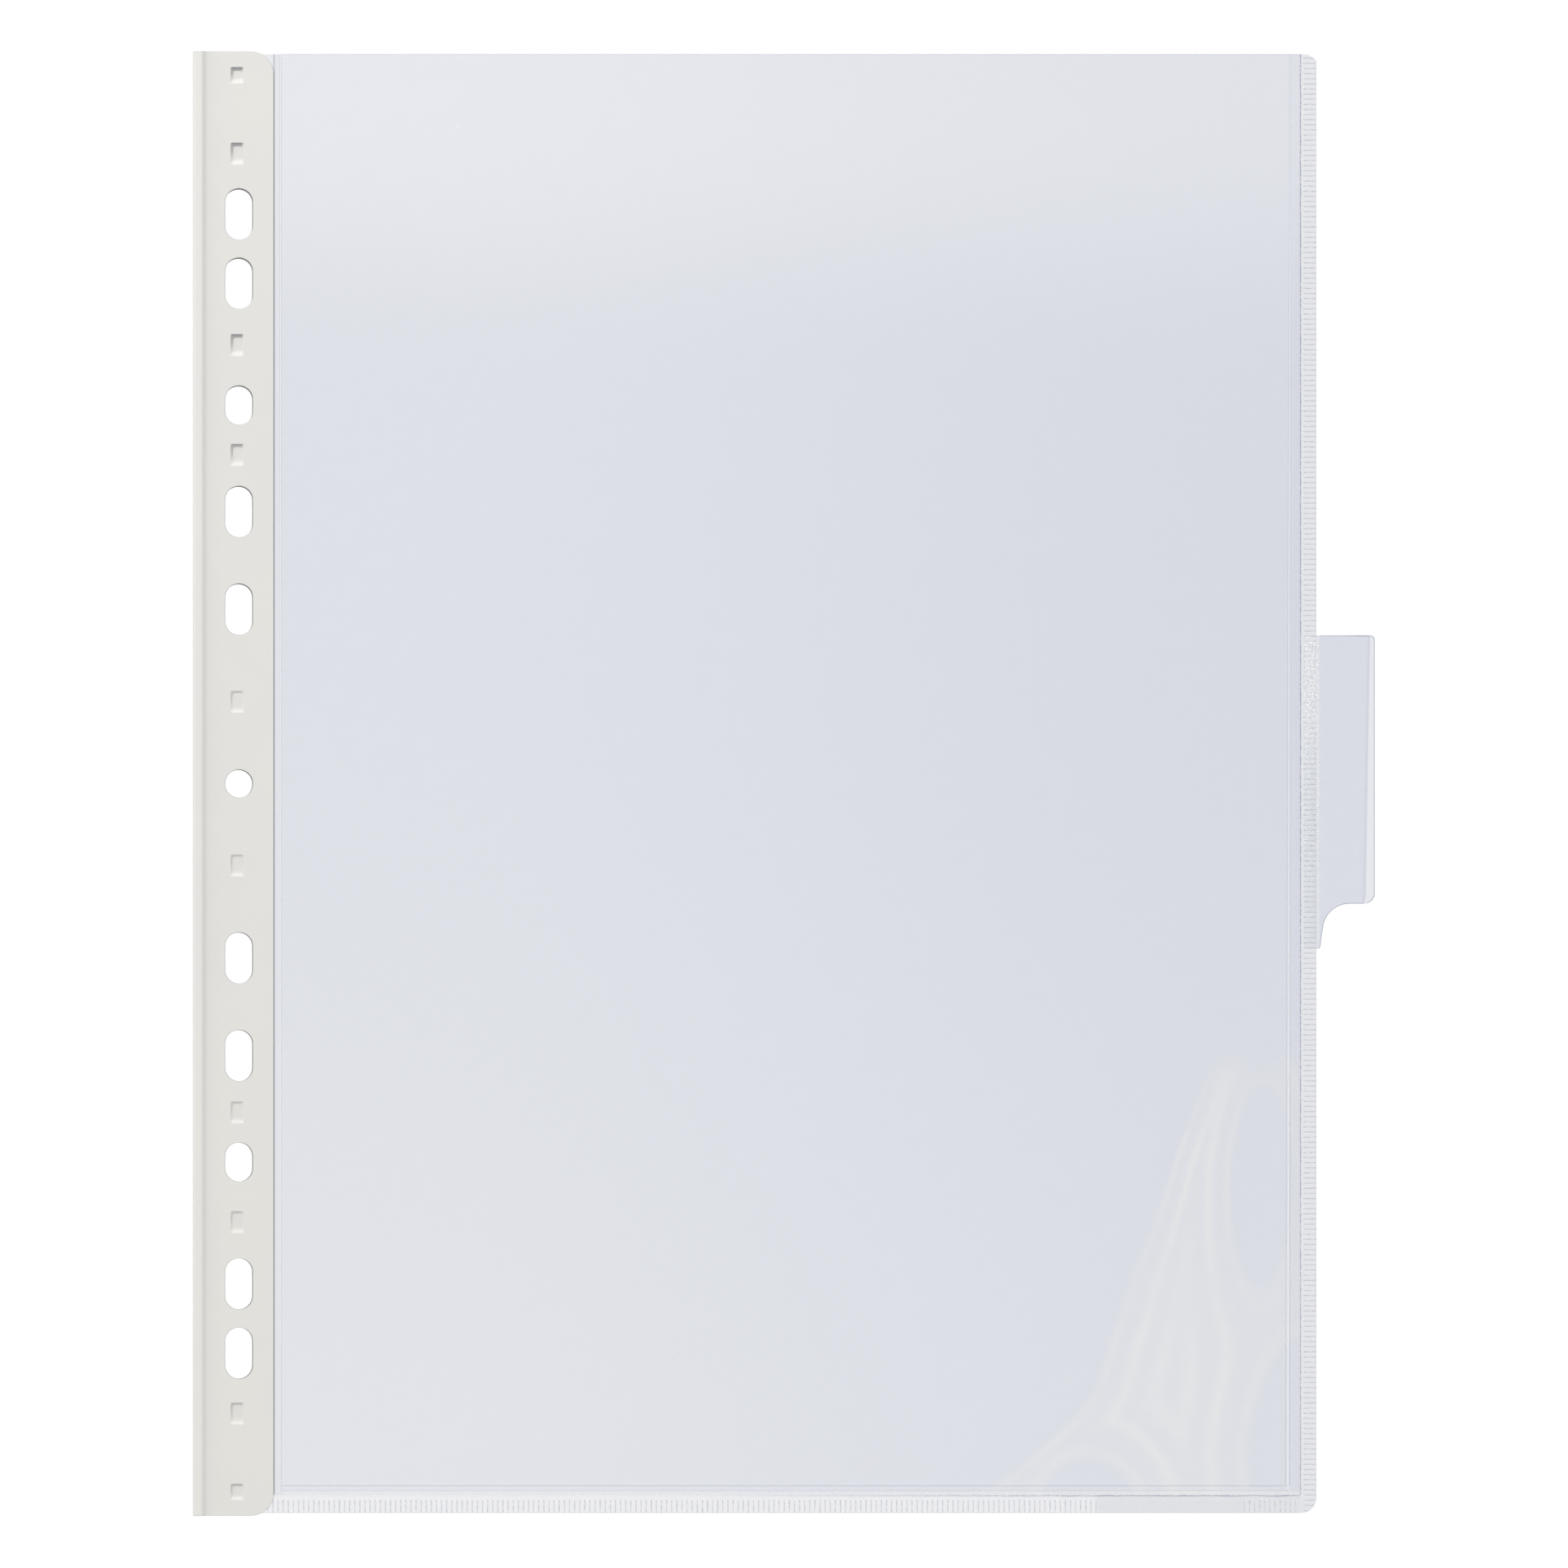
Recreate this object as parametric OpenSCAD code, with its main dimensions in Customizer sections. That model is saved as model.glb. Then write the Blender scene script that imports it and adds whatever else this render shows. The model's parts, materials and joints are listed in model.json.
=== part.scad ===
// Document display panel: a clear pocket for one A4 sheet, welded from two films,
// with a punched steel filing strip folded over its spine and a folded index tab
// lap-welded to its open edge.
// Millimetres. The panel lies flat: +X runs from the spine to the tab, +Y up the
// page to the pocket's mouth, +Z out of the front face. The origin is the middle
// of the bounding box, on the surface that the panel lies on.

/* [Filing strip] */
// Width of the strip, from the spine to its free edge
strip_width = 17.5; // [15:0.1:22]
// Thickness of the painted sheet steel
strip_sheet = 0.4; // [0.3:0.05:0.6]
// Outside diameter of the bead that the fold leaves along the spine
bead_d = 2.4; // [2.2:0.1:3.2]
// Radius of the hollow between the bead and the flat of the strip
bead_hollow_r = 1; // [0.5:0.1:1.6]
// Radius of the two free corners of the strip
strip_corner_r = 5; // [1:0.5:5]
// How far the strip stands past the films at each end
strip_overhang = 0.6; // [0:0.1:2]

/* [Ring holes] */
// Width of every ring hole, and diameter of the round one in the middle
hole_d = 6; // [5.5:0.1:6.5]
// Distance from the spine to the line of holes
hole_inset = 10; // [9:0.1:11]
// Length of the long slots
slot_long = 11; // [9:0.5:12]
// Length of the short slots
slot_short = 8.4; // [7:0.1:10]
// Distance from the round hole to the first pair of slots (35 and 40 mm rings)
slot_offset_1 = 37.5; // [36:0.5:40]
// Distance to the second pair of slots (56 mm rings)
slot_offset_2 = 58.5; // [56:0.5:60]
// Distance to the third pair of slots, the short ones (80 mm rings)
slot_offset_3 = 81.4; // [80:0.1:82]
// Distance to the fourth pair of slots (108 mm rings)
slot_offset_4 = 107.6; // [106:0.1:109]
// Distance to the fifth pair of slots (120 mm rings)
slot_offset_5 = 122.5; // [120.5:0.5:124]

/* [Clinches] */
// Width of a clinch, across the strip
clinch_w = 2.7; // [2:0.1:4]
// Length of a clinch, along the strip
clinch_l = 4.6; // [3:0.1:6]
// Length of the two clinches next to the strip's ends
clinch_end_l = 3.4; // [2.5:0.1:5]
// Depth of the recess that the punch leaves in the front of the strip
clinch_depth = 0.3; // [0.1:0.05:0.35]
// Height of the button that it raises on the back of the strip
clinch_button = 0.25; // [0.1:0.05:0.3]
// Distance from the spine to the line of clinches
clinch_inset = 9.6; // [8:0.1:11]
// Distance from the round hole to the first pair of clinches
clinch_offset_1 = 17.6; // [10:0.1:25]
// Distance to the second pair of clinches
clinch_offset_2 = 70.7; // [69:0.1:72]
// Distance to the third pair of clinches
clinch_offset_3 = 94.3; // [91:0.1:97]
// Distance from the strip's ends to the fifth pair of clinches, the short ones
clinch_end_inset = 5.2; // [4:0.1:8]
// Least metal left between the fourth pair of clinches and what is next to them
clinch_bridge = 1; // [0.5:0.1:2]
// Where the fourth pair lies in the room from the last slots (0) to the end clinches (1)
clinch_lean = 0.26; // [0:0.02:1]
// Room between a clinch and the window that it passes through in the films
clinch_clearance = 0.1; // [0.05:0.05:0.3]
// How much wider than the strip's holes the holes in the films are, each side
film_hole_margin = 0.15; // [0.05:0.05:0.4]

/* [Pocket] */
// Clear width inside the pocket, between its creases
pocket_w = 216.8; // [212:0.1:225]
// Clear height inside the pocket, from the bottom crease to the mouth
pocket_h = 308; // [300:0.5:312]
// Clear depth between the two films
pocket_gap = 0.3; // [0.2:0.05:1]
// Thickness of one film
film_t = 0.2; // [0.12:0.02:0.3]

/* [Fold beside the strip] */
// Distance from the strip's free edge to the fold line
fold_inset = 0.9; // [0.7:0.1:3]
// Diameter of the bead that is pressed along the fold line
fold_bead_d = 0.5; // [0.3:0.05:0.6]
// Width of the weld between the fold line and the pocket
fold_seam_w = 0.7; // [0.5:0.1:2]
// Room between the fold bead and the films held in the strip, for the panel to fold back
fold_clearance = 0.35; // [0.3:0.05:0.4]

/* [Edge welds] */
// Width of the slope where the films come together, from the crease to the weld
seam_slope_w = 2.2; // [1:0.1:4]
// Width of the weld, from its inner line to the edge of the panel
weld_w = 3.65; // [3:0.05:6]
// Thickness of the two films where they are welded into one
weld_t = 0.36; // [0.24:0.02:0.4]
// Width of the ribbed band along the edge
rib_band_w = 2.75; // [1.5:0.05:2.9]
// Distance from one rib to the next
rib_pitch = 1.1; // [0.8:0.1:3]
// Width of the groove between two ribs
rib_groove_w = 0.3; // [0.2:0.05:0.5]
// Depth of the groove between two ribs
rib_groove_depth = 0.08; // [0.04:0.01:0.12]
// Length of the bare stretch in the bottom ribs
bare_l = 31.5; // [0:0.5:60]
// Distance from the panel's edge to the bare stretch
bare_inset = 15.8; // [8:0.1:40]
// Radius of the bottom corner of the panel
bottom_corner_r = 3.3; // [1:0.1:3.6]
// Radius of the top corner of the panel
top_corner_r = 3.6; // [1:0.1:5]
// How far in from the edge the top corner starts to round
top_corner_run = 2.9; // [0.8:0.1:2.9]

/* [Index tab] */
// How far the tab stands out of the panel
tab_reach = 12.6; // [9:0.1:20]
// Height of the tab above its foot
tab_h = 57.8; // [40:0.1:70]
// Distance from the middle of the strip up to the top of the tab
tab_top = 31.9; // [0:0.1:140]
// Height of the foot that runs the tab out into the panel's edge
tab_foot_h = 9.6; // [8.5:0.1:16]
// How far the foot stands out of the panel at its tip
tab_foot_reach = 0.9; // [0.6:0.1:2]
// Radius of the tip of the foot
tab_tip_r = 0.5; // [0.2:0.1:0.5]
// Radius of the hollow between the tab and its foot
tab_hollow_r = 5.8; // [3:0.1:6]
// How far the hollow reaches out of the panel, to where it meets the tab's lower edge
tab_hollow_reach = 7.2; // [7:0.1:8]
// Radius of the tab's upper corner
tab_top_r = 1; // [0.5:0.1:4]
// Radius of the tab's lower corner
tab_low_r = 2.3; // [0.5:0.1:4]
// Thickness of the film that the tab is folded from
tab_film_t = 0.2; // [0.12:0.02:0.3]
// Clear depth between the two leaves of the tab, for a label
tab_gap = 0.16; // [0.1:0.02:0.3]
// Width of the closed band along the tab's fold
tab_fold_w = 1.9; // [0.5:0.1:3]
// Width of the lap that is welded to the back of the panel's edge
tab_lap_w = 2.7; // [1.5:0.1:3]

/* [Hidden] */
$fn = 64;

// Cuts run past the faces they cut by this much.
past = 1;

// Heights, from the middle plane of the films.
mid_z = bead_d / 2;
leg_in = film_t;
leg_out = leg_in + strip_sheet;
pocket_half = pocket_gap / 2 + film_t;
weld_half = weld_t / 2;
fold_half = fold_bead_d / 2;
tab_top_z = -weld_half;
tab_low_z = tab_top_z - 2 * tab_film_t - tab_gap;

// Places across the panel, from the spine to the tab.
panel_w = strip_width + fold_inset + fold_seam_w + pocket_w + seam_slope_w + weld_w;
spine_x = -(panel_w + tab_reach) / 2;
bead_x = spine_x + bead_d / 2;
hole_x = spine_x + hole_inset;
clinch_x = spine_x + clinch_inset;
strip_edge_x = spine_x + strip_width;
fold_x = strip_edge_x + fold_inset;
pocket_x0 = fold_x + fold_seam_w;
pocket_x1 = pocket_x0 + pocket_w;
weld_x = pocket_x1 + seam_slope_w;
edge_x = weld_x + weld_w;
tab_x = edge_x + tab_reach;
tab_band_x = tab_x - tab_fold_w;

// The films held in the strip run from beside the bead to just short of the fold.
margin_x0 = spine_x + bead_d;
margin_x1 = fold_x - fold_half - fold_clearance;

// Places up the page. The films are centred on the strip's round hole.
film_h = pocket_h + seam_slope_w + weld_w;
strip_h = film_h + 2 * strip_overhang;
film_y1 = film_h / 2;
film_y0 = -film_y1;
weld_y = film_y0 + weld_w;
pocket_y0 = weld_y + seam_slope_w;
tab_y0 = tab_top - tab_h;
tab_foot_y = tab_y0 - tab_foot_h;

// The last pair of clinches keeps its distance from the strip's ends, and the pair
// before it lies in the room between that pair and the last slots.
clinch_offset_5 = strip_h / 2 - clinch_end_inset;
last_slot_end = slot_offset_5 + slot_long / 2;
clinch_room = clinch_offset_5 - clinch_end_l / 2 - last_slot_end - 2 * clinch_bridge - clinch_l;
clinch_offset_4 = last_slot_end + clinch_bridge + clinch_l / 2 + clinch_lean * clinch_room;

// Where the pairs of slots and clinches lie, as [distance from the round hole, length].
SLOTS = [[slot_offset_1, slot_long], [slot_offset_2, slot_long], [slot_offset_3, slot_short],
         [slot_offset_4, slot_long], [slot_offset_5, slot_long]];
CLINCHES = [[clinch_offset_1, clinch_l], [clinch_offset_2, clinch_l], [clinch_offset_3, clinch_l],
            [clinch_offset_4, clinch_l], [clinch_offset_5, clinch_end_l]];

// Colours, as the eye sees them over white.
STEEL = "#dedcd6";
FILM = "#dbdee5";
WELD = "#e4e5ea";

// A profile drawn in X and Z, run along Y from y0 to y1.
module run_along_y(y0, y1) {
    translate([0, y1, mid_z]) rotate([90, 0, 0]) linear_extrude(y1 - y0) children();
}

// A profile drawn in Y and Z, run along X from x0 to x1.
module run_along_x(x0, x1) {
    translate([x0, 0, mid_z]) rotate([90, 0, 90]) linear_extrude(x1 - x0) children();
}

// An outline drawn in X and Y, raised from z0 to z1 above the films' middle plane.
module raise(z0, z1) {
    translate([0, 0, mid_z + z0]) linear_extrude(z1 - z0) children();
}

// A plain box between two corners, in heights above the films' middle plane.
module box(low, high) {
    translate([low[0], low[1], mid_z + low[2]]) cube(high - low);
}

// The children once above and once below the round hole, at each place in a list.
module pairs(places) {
    for (place = places, side = [-1, 1]) translate([0, side * place[0]]) {
        $length = place[1];
        children();
    }
}

// One slot with round ends, as long as $length.
module slot_2d(wide) {
    straight = $length - hole_d;
    square([wide, straight], center = true);
    for (side = [-1, 1]) translate([0, side * straight / 2]) circle(d = wide);
}

// The round hole and its five pairs of slots, each side wider than hole_d by margin.
module ring_holes_2d(margin) {
    translate([hole_x, 0]) {
        circle(d = hole_d + 2 * margin);
        pairs(SLOTS) slot_2d(hole_d + 2 * margin);
    }
}

// The clinches' places, each side larger by margin.
module clinches_2d(margin) {
    translate([clinch_x, 0])
        pairs(CLINCHES) square([clinch_w + 2 * margin, $length + 2 * margin], center = true);
}

// Half of the strip's section: bead, hollow and one leg, in X and Z.
module strip_half_section() {
    bead_r = bead_d / 2;
    hollow_z = leg_out + bead_hollow_r;
    hollow_x = bead_x + sqrt(pow(bead_r + bead_hollow_r, 2) - pow(hollow_z, 2));
    share = bead_r / (bead_r + bead_hollow_r);
    touch_x = bead_x + share * (hollow_x - bead_x);
    difference() {
        union() {
            difference() {
                translate([bead_x, 0]) circle(r = bead_r);
                translate([bead_x, 0]) circle(r = bead_r - strip_sheet);
                translate([spine_x, -bead_d]) square([bead_d, bead_d]);
            }
            translate([bead_x, leg_in]) square([strip_edge_x - bead_x, strip_sheet]);
            difference() {
                polygon([[bead_x, leg_in], [touch_x, share * hollow_z], [hollow_x, hollow_z],
                         [hollow_x, leg_in]]);
                translate([hollow_x, hollow_z]) circle(r = bead_hollow_r);
                translate([bead_x, 0]) circle(r = bead_r - strip_sheet);
            }
        }
        translate([bead_x, -past]) square([strip_width, past + leg_in]);
    }
}

// The strip's outline from the front, with its two free corners rounded.
module strip_outline() {
    round_x = strip_edge_x - strip_corner_r;
    round_y = strip_h / 2 - strip_corner_r;
    translate([spine_x - past, -strip_h / 2]) square([round_x - spine_x + past, strip_h]);
    translate([round_x - past, -round_y]) square([strip_corner_r + past, 2 * round_y]);
    for (side = [-1, 1]) translate([round_x, side * round_y]) circle(r = strip_corner_r);
}

// Folded steel strip: bead along the spine, two legs over the films, and the
// clinches that are punched through the films to lock the legs together.
module filing_strip() {
    color(STEEL) difference() {
        union() {
            intersection() {
                run_along_y(-strip_h / 2, strip_h / 2) {
                    strip_half_section();
                    mirror([0, 1]) strip_half_section();
                }
                raise(-bead_d, bead_d) strip_outline();
            }
            raise(-leg_out - clinch_button, leg_in) clinches_2d(0);
        }
        raise(-bead_d, bead_d) ring_holes_2d(0);
        raise(leg_out - clinch_depth, bead_d) clinches_2d(0);
    }
}

// The edge of one film that is held in the strip, punched for the rings and the clinches.
module film_margin(z0) {
    difference() {
        box([margin_x0, film_y0, z0], [margin_x1, film_y1, z0 + film_t]);
        raise(z0 - past, z0 + film_t + past) {
            ring_holes_2d(film_hole_margin);
            clinches_2d(clinch_clearance);
        }
    }
}

module front_film_margin() {
    color(FILM) film_margin(0);
}

module rear_film_margin() {
    color(FILM) film_margin(-film_t);
}

// The panel's section from the fold to its edge, in X and Z: full depth over the
// pocket, and down to the weld's thickness along the edge.
module across_section() {
    polygon([[fold_x, -fold_half], [pocket_x0, -pocket_half], [pocket_x1, -pocket_half],
             [weld_x, -weld_half], [edge_x, -weld_half], [edge_x, weld_half], [weld_x, weld_half],
             [pocket_x1, pocket_half], [pocket_x0, pocket_half], [fold_x, fold_half]]);
}

// The panel's section from its bottom edge to the mouth, in Y and Z.
module upright_section() {
    polygon([[film_y0, -weld_half], [weld_y, -weld_half], [pocket_y0, -pocket_half],
             [film_y1, -pocket_half], [film_y1, pocket_half], [pocket_y0, pocket_half],
             [weld_y, weld_half], [film_y0, weld_half]]);
}

// The panel's outline from the front, with its two free corners rounded.
module panel_outline() {
    low_x = edge_x - bottom_corner_r;
    low_y = film_y0 + bottom_corner_r;
    high_x = edge_x - top_corner_run;
    high_y = film_y1 - top_corner_r;
    translate([fold_x - past, low_y]) square([edge_x - fold_x + past, high_y - low_y]);
    translate([fold_x - past, film_y0]) square([low_x - fold_x + past, film_h]);
    translate([low_x, high_y - past]) square([high_x - low_x, film_y1 - high_y + past]);
    translate([low_x, low_y]) circle(r = bottom_corner_r);
    intersection() {
        translate([high_x, high_y]) circle(r = top_corner_r);
        translate([low_x, high_y]) square([edge_x - low_x, top_corner_r]);
    }
}

// The part of the welded panel that lies within an outline drawn in X and Y.
module panel_within() {
    intersection() {
        run_along_y(film_y0, film_y1) across_section();
        run_along_x(fold_x, edge_x) upright_section();
        raise(-pocket_half, pocket_half) panel_outline();
        raise(-bead_d, bead_d) children();
    }
}

// A comb that cuts the grooves between the ribs, drawn along its first axis
// from its middle, with no tooth between the two ends of the gap.
module rib_comb(length, gap_from, gap_to) {
    skin = rib_groove_depth / 10;
    last = floor((length - rib_pitch) / 2 / rib_pitch);
    teeth = [for (i = [-last:last]) let (at = i * rib_pitch) if (at < gap_from || at > gap_to) at];
    polygon(concat([[-length, rib_pitch], [-length, skin]],
                   [for (at = teeth, corner = [[-rib_groove_w / 2, skin], [0, -rib_groove_depth],
                                               [rib_groove_w / 2, skin]]) [at, 0] + corner],
                   [[length, skin], [length, rib_pitch]]));
}

// Weld between the fold line and the pocket, with the round bead that the panel turns on.
module fold_seam() {
    color(WELD) {
        panel_within() translate([fold_x, film_y0]) square([fold_seam_w, film_h]);
        run_along_y(film_y0, film_y1) translate([fold_x, 0]) circle(d = fold_bead_d);
    }
}

// One flat film of the pocket, between the creases.
module pocket_film(z0) {
    box([pocket_x0, pocket_y0, z0], [pocket_x1, film_y1, z0 + film_t]);
}

module front_film() {
    color(FILM) pocket_film(pocket_gap / 2);
}

module rear_film() {
    color(FILM) pocket_film(-pocket_half);
}

// Welded edge on the tab's side, mitred at the bottom corner.
module side_weld() {
    color(WELD) difference() {
        panel_within() polygon([[pocket_x1, film_y1], [edge_x, film_y1], [edge_x, film_y0],
                                [pocket_x1, pocket_y0]]);
        translate([0, 0, weld_half]) run_along_x(edge_x - rib_band_w, edge_x + past)
            rib_comb(film_h, tab_foot_y, tab_top);
    }
}

// Welded edge along the bottom, mitred at the side.
module bottom_weld() {
    middle_x = (pocket_x0 + edge_x) / 2;
    bare_x1 = edge_x - bare_inset;
    color(WELD) difference() {
        panel_within() polygon([[pocket_x0, film_y0], [edge_x, film_y0], [pocket_x1, pocket_y0],
                                [pocket_x0, pocket_y0]]);
        translate([middle_x, 0, weld_half]) run_along_y(film_y0 - past, film_y0 + rib_band_w)
            rib_comb(edge_x - pocket_x0, bare_x1 - bare_l - middle_x, bare_x1 - middle_x);
    }
}

// What rounding takes off an outer corner that lies at the origin, up and to the right.
module corner_waste(radius) {
    difference() {
        translate([-radius, -radius]) square(radius + past);
        translate([-radius, -radius]) circle(r = radius);
    }
}

// The tab's outline from the front: rounded corners, and a foot that runs out into
// the panel's edge through a hollow.
module tab_outline() {
    root_x = edge_x - tab_lap_w;
    hollow = [edge_x + tab_hollow_reach, tab_y0 - tab_hollow_r];
    tip = [edge_x + tab_foot_reach - tab_tip_r, tab_foot_y + tab_tip_r];
    // The leaning edge of the foot touches the hollow on one side and the tip on the other.
    way = hollow - tip;
    lean = atan2(way[1], way[0]) - acos((tab_hollow_r + tab_tip_r) / norm(way));
    out = [cos(lean), sin(lean)];
    difference() {
        union() {
            translate([root_x, tab_y0]) square([tab_x - root_x, tab_h]);
            polygon([[root_x, tab_foot_y], [tip[0], tab_foot_y], tip, tip + tab_tip_r * out,
                     hollow - tab_hollow_r * out, hollow, [hollow[0], tab_y0 + past],
                     [root_x, tab_y0 + past]]);
            translate(tip) circle(r = tab_tip_r);
        }
        translate(hollow) circle(r = tab_hollow_r);
        translate([tab_x, tab_top]) corner_waste(tab_top_r);
        translate([tab_x, tab_y0]) mirror([0, 1]) corner_waste(tab_low_r);
    }
}

// The part of the folded tab between two places across it and two heights.
module tab_part(x0, x1, z0, z1) {
    raise(z0, z1) intersection() {
        tab_outline();
        translate([x0, tab_foot_y]) square([x1 - x0, tab_top - tab_foot_y]);
    }
}

// The two leaves of the tab, with room for a label between them.
module tab_front_leaf() {
    color(FILM) tab_part(edge_x, tab_band_x, tab_top_z - tab_film_t, tab_top_z);
}

module tab_rear_leaf() {
    color(FILM) tab_part(edge_x, tab_band_x, tab_low_z, tab_low_z + tab_film_t);
}

// The closed band along the fold, which joins the two leaves.
module tab_fold() {
    color(WELD) tab_part(tab_band_x, tab_x, tab_low_z, tab_top_z);
}

// The closed root of the tab, welded to the back of the panel's edge.
module tab_lap() {
    color(WELD) tab_part(edge_x - tab_lap_w, edge_x, tab_low_z, tab_top_z);
}

filing_strip();
front_film_margin();
rear_film_margin();
fold_seam();
front_film();
rear_film();
side_weld();
bottom_weld();
tab_front_leaf();
tab_rear_leaf();
tab_fold();
tab_lap();
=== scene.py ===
"""Looks of a document display panel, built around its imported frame.

The panel lies flat with its front up: +X runs from the filing strip to the index tab and +Y up the
page to the pocket's mouth. Meshes are modelled in millimetres, with heights counted from the films'
middle plane, and are scaled into the frame when they are written.
"""

import json
import logging
import math
from dataclasses import dataclass, field
from enum import Enum
from functools import cached_property
from itertools import pairwise
from typing import Callable, ClassVar, Iterator, Sequence

import bmesh
import bpy
from bmesh.types import BMEdge, BMFace, BMVert
from mathutils import Matrix, Vector, noise
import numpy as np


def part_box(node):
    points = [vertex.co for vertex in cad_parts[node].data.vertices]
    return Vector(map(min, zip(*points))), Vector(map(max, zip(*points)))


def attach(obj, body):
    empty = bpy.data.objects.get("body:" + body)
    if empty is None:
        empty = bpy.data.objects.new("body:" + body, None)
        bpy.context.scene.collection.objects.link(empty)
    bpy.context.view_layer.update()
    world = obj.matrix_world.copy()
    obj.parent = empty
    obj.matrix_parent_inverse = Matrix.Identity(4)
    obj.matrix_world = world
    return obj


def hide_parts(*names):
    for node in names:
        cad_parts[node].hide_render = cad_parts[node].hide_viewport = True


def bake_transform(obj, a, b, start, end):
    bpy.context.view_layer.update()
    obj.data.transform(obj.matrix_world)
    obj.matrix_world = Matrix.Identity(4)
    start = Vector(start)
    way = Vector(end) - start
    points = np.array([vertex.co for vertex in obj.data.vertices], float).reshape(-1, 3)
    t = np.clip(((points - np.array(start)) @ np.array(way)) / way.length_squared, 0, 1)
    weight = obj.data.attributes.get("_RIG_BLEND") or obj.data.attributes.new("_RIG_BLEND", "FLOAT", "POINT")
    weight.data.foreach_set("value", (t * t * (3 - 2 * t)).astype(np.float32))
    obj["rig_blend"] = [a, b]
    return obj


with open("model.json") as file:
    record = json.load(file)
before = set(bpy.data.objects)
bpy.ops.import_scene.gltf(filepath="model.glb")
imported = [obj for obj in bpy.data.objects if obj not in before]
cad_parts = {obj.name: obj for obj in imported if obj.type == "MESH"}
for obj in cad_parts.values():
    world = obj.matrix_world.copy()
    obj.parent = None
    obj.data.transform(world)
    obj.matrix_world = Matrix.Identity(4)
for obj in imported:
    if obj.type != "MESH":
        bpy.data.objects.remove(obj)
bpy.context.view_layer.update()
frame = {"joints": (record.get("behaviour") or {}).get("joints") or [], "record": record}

LOG = logging.getLogger("display_panel")
MM = 0.001
LOOP_SIDES = 48
CORNER_FLATS = 10
SHARP_ANGLE = math.radians(38)
BEND_AFTER_STRIP = 0.2
BEND_PAST_FOLD = 0.3
Triple = tuple[float, float, float]
Colour = Triple
Point = tuple[float, float]
Span = tuple[float, float]


class Body(str, Enum):
    """The moving bodies of the frame."""

    STRIP = "strip"
    PANEL = "panel"


class Slot(str, Enum):
    """The record's material slots."""

    STEEL = "painted_steel"
    FILM = "clear_film"
    WELD = "welded_film"


class Trace(str, Enum):
    """Vertex attributes that the finishes read."""

    # mark darkens a surface: bare steel and painted shade on the strip, painted shade on the films
    MARK = "mark"
    # this one lightens a surface: painted highlights on the strip's clinches, the side crease's ridge and
    # the weld ribs, and paler film elsewhere
    PALE_AND_HIGHLIGHT = "frost"
    # crumple lies where a weld is crumpled; the films paint glints and dark flecks there
    CRUMPLE = "crumple"
    # seep lies on the welds' squeezed-out bead, where painted shade falls, and on the tab's clearer fused
    # root
    SEEP = "seep"


class PunchKind(Enum):
    """What the punch leaves in the filing strip."""

    HOLE = "hole"
    CLINCH = "clinch"


def corners(node: str) -> tuple[Vector, Vector]:
    """The lowest and highest corner of a frame node.

    Args:
        node: The node's name.

    Returns:
        Both corners in millimetres.
    """
    low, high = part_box(node)
    return low / MM, high / MM


def clamp(value: float) -> float:
    """A number held between 0 and 1."""
    return min(1.0, max(0.0, value))


def between(span: Span, share: float) -> float:
    """The number that lies a share of the way through a span."""
    return span[0] + (span[1] - span[0]) * share


def smooth(value: float, low: float, high: float) -> float:
    """A smooth step from 0 at low to 1 at high.

    Args:
        value: The number to place.
        low: Where the step starts.
        high: Where the step ends; it may lie below low.

    Returns:
        A number from 0 to 1.
    """
    share = clamp((value - low) / (high - low))
    return share * share * (3 - 2 * share)


def bump(value: float, centre: float, reach: float) -> float:
    """A smooth bump of height 1 at centre that ends at reach on either side."""
    return 1 - smooth(abs(value - centre), 0, reach)


def spread(start: float, end: float, step: float) -> list[float]:
    """Evenly spaced places from start up to, but without, end.

    Args:
        start: The first place.
        end: Where the stretch ends.
        step: The widest distance between two places.

    Returns:
        The places in order.
    """
    count = max(1, math.ceil((end - start) / step))
    return [start + (end - start) * i / count for i in range(count)]


@dataclass(frozen=True)
class Layout:
    """Places on the panel in millimetres; heights count from the films' middle plane."""

    mid_z: float
    spine_x: float
    strip_edge_x: float
    strip_end_y: float
    film_t: float
    margin_x0: float
    foot_y: float
    mouth_y: float
    fold_x: float
    pocket_x0: float
    pocket_x1: float
    pocket_y0: float
    pocket_half: float
    weld_half: float
    edge_x: float
    tab_root_x: float
    tab_band_x: float
    tab_x: float
    tab_top: float
    tab_low: float
    tab_foot_y: float
    tab_face_z: float
    tab_back_z: float

    @classmethod
    def from_frame(cls) -> "Layout":
        """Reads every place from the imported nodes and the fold's joint.

        Returns:
            The panel's layout.
        """
        strip_low, strip_high = corners("filing_strip")
        margin_low, margin_high = corners("front_film_margin")
        film_low, film_high = corners("front_film")
        foot_low, _ = corners("bottom_weld")
        _, weld_high = corners("side_weld")
        lap_low, lap_high = corners("tab_lap")
        fold_low, fold_high = corners("tab_fold")
        mid_z = (strip_low.z + strip_high.z) / 2
        return cls(
            mid_z=mid_z,
            spine_x=strip_low.x,
            strip_edge_x=strip_high.x,
            strip_end_y=strip_high.y,
            film_t=margin_high.z - margin_low.z,
            margin_x0=margin_low.x,
            foot_y=foot_low.y,
            mouth_y=film_high.y,
            fold_x=frame["joints"][0]["pos_m"][0] / MM,
            pocket_x0=film_low.x,
            pocket_x1=film_high.x,
            pocket_y0=film_low.y,
            pocket_half=film_high.z - mid_z,
            weld_half=mid_z - lap_high.z,
            edge_x=weld_high.x,
            tab_root_x=lap_low.x,
            tab_band_x=fold_low.x,
            tab_x=fold_high.x,
            tab_top=fold_high.y,
            tab_low=fold_low.y,
            tab_foot_y=lap_low.y,
            tab_face_z=lap_high.z - mid_z,
            tab_back_z=lap_low.z - mid_z,
        )

    @property
    def bead_r(self) -> float:
        """Radius of the strip's bead, which is as thick as the whole panel."""
        return self.mid_z


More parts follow.
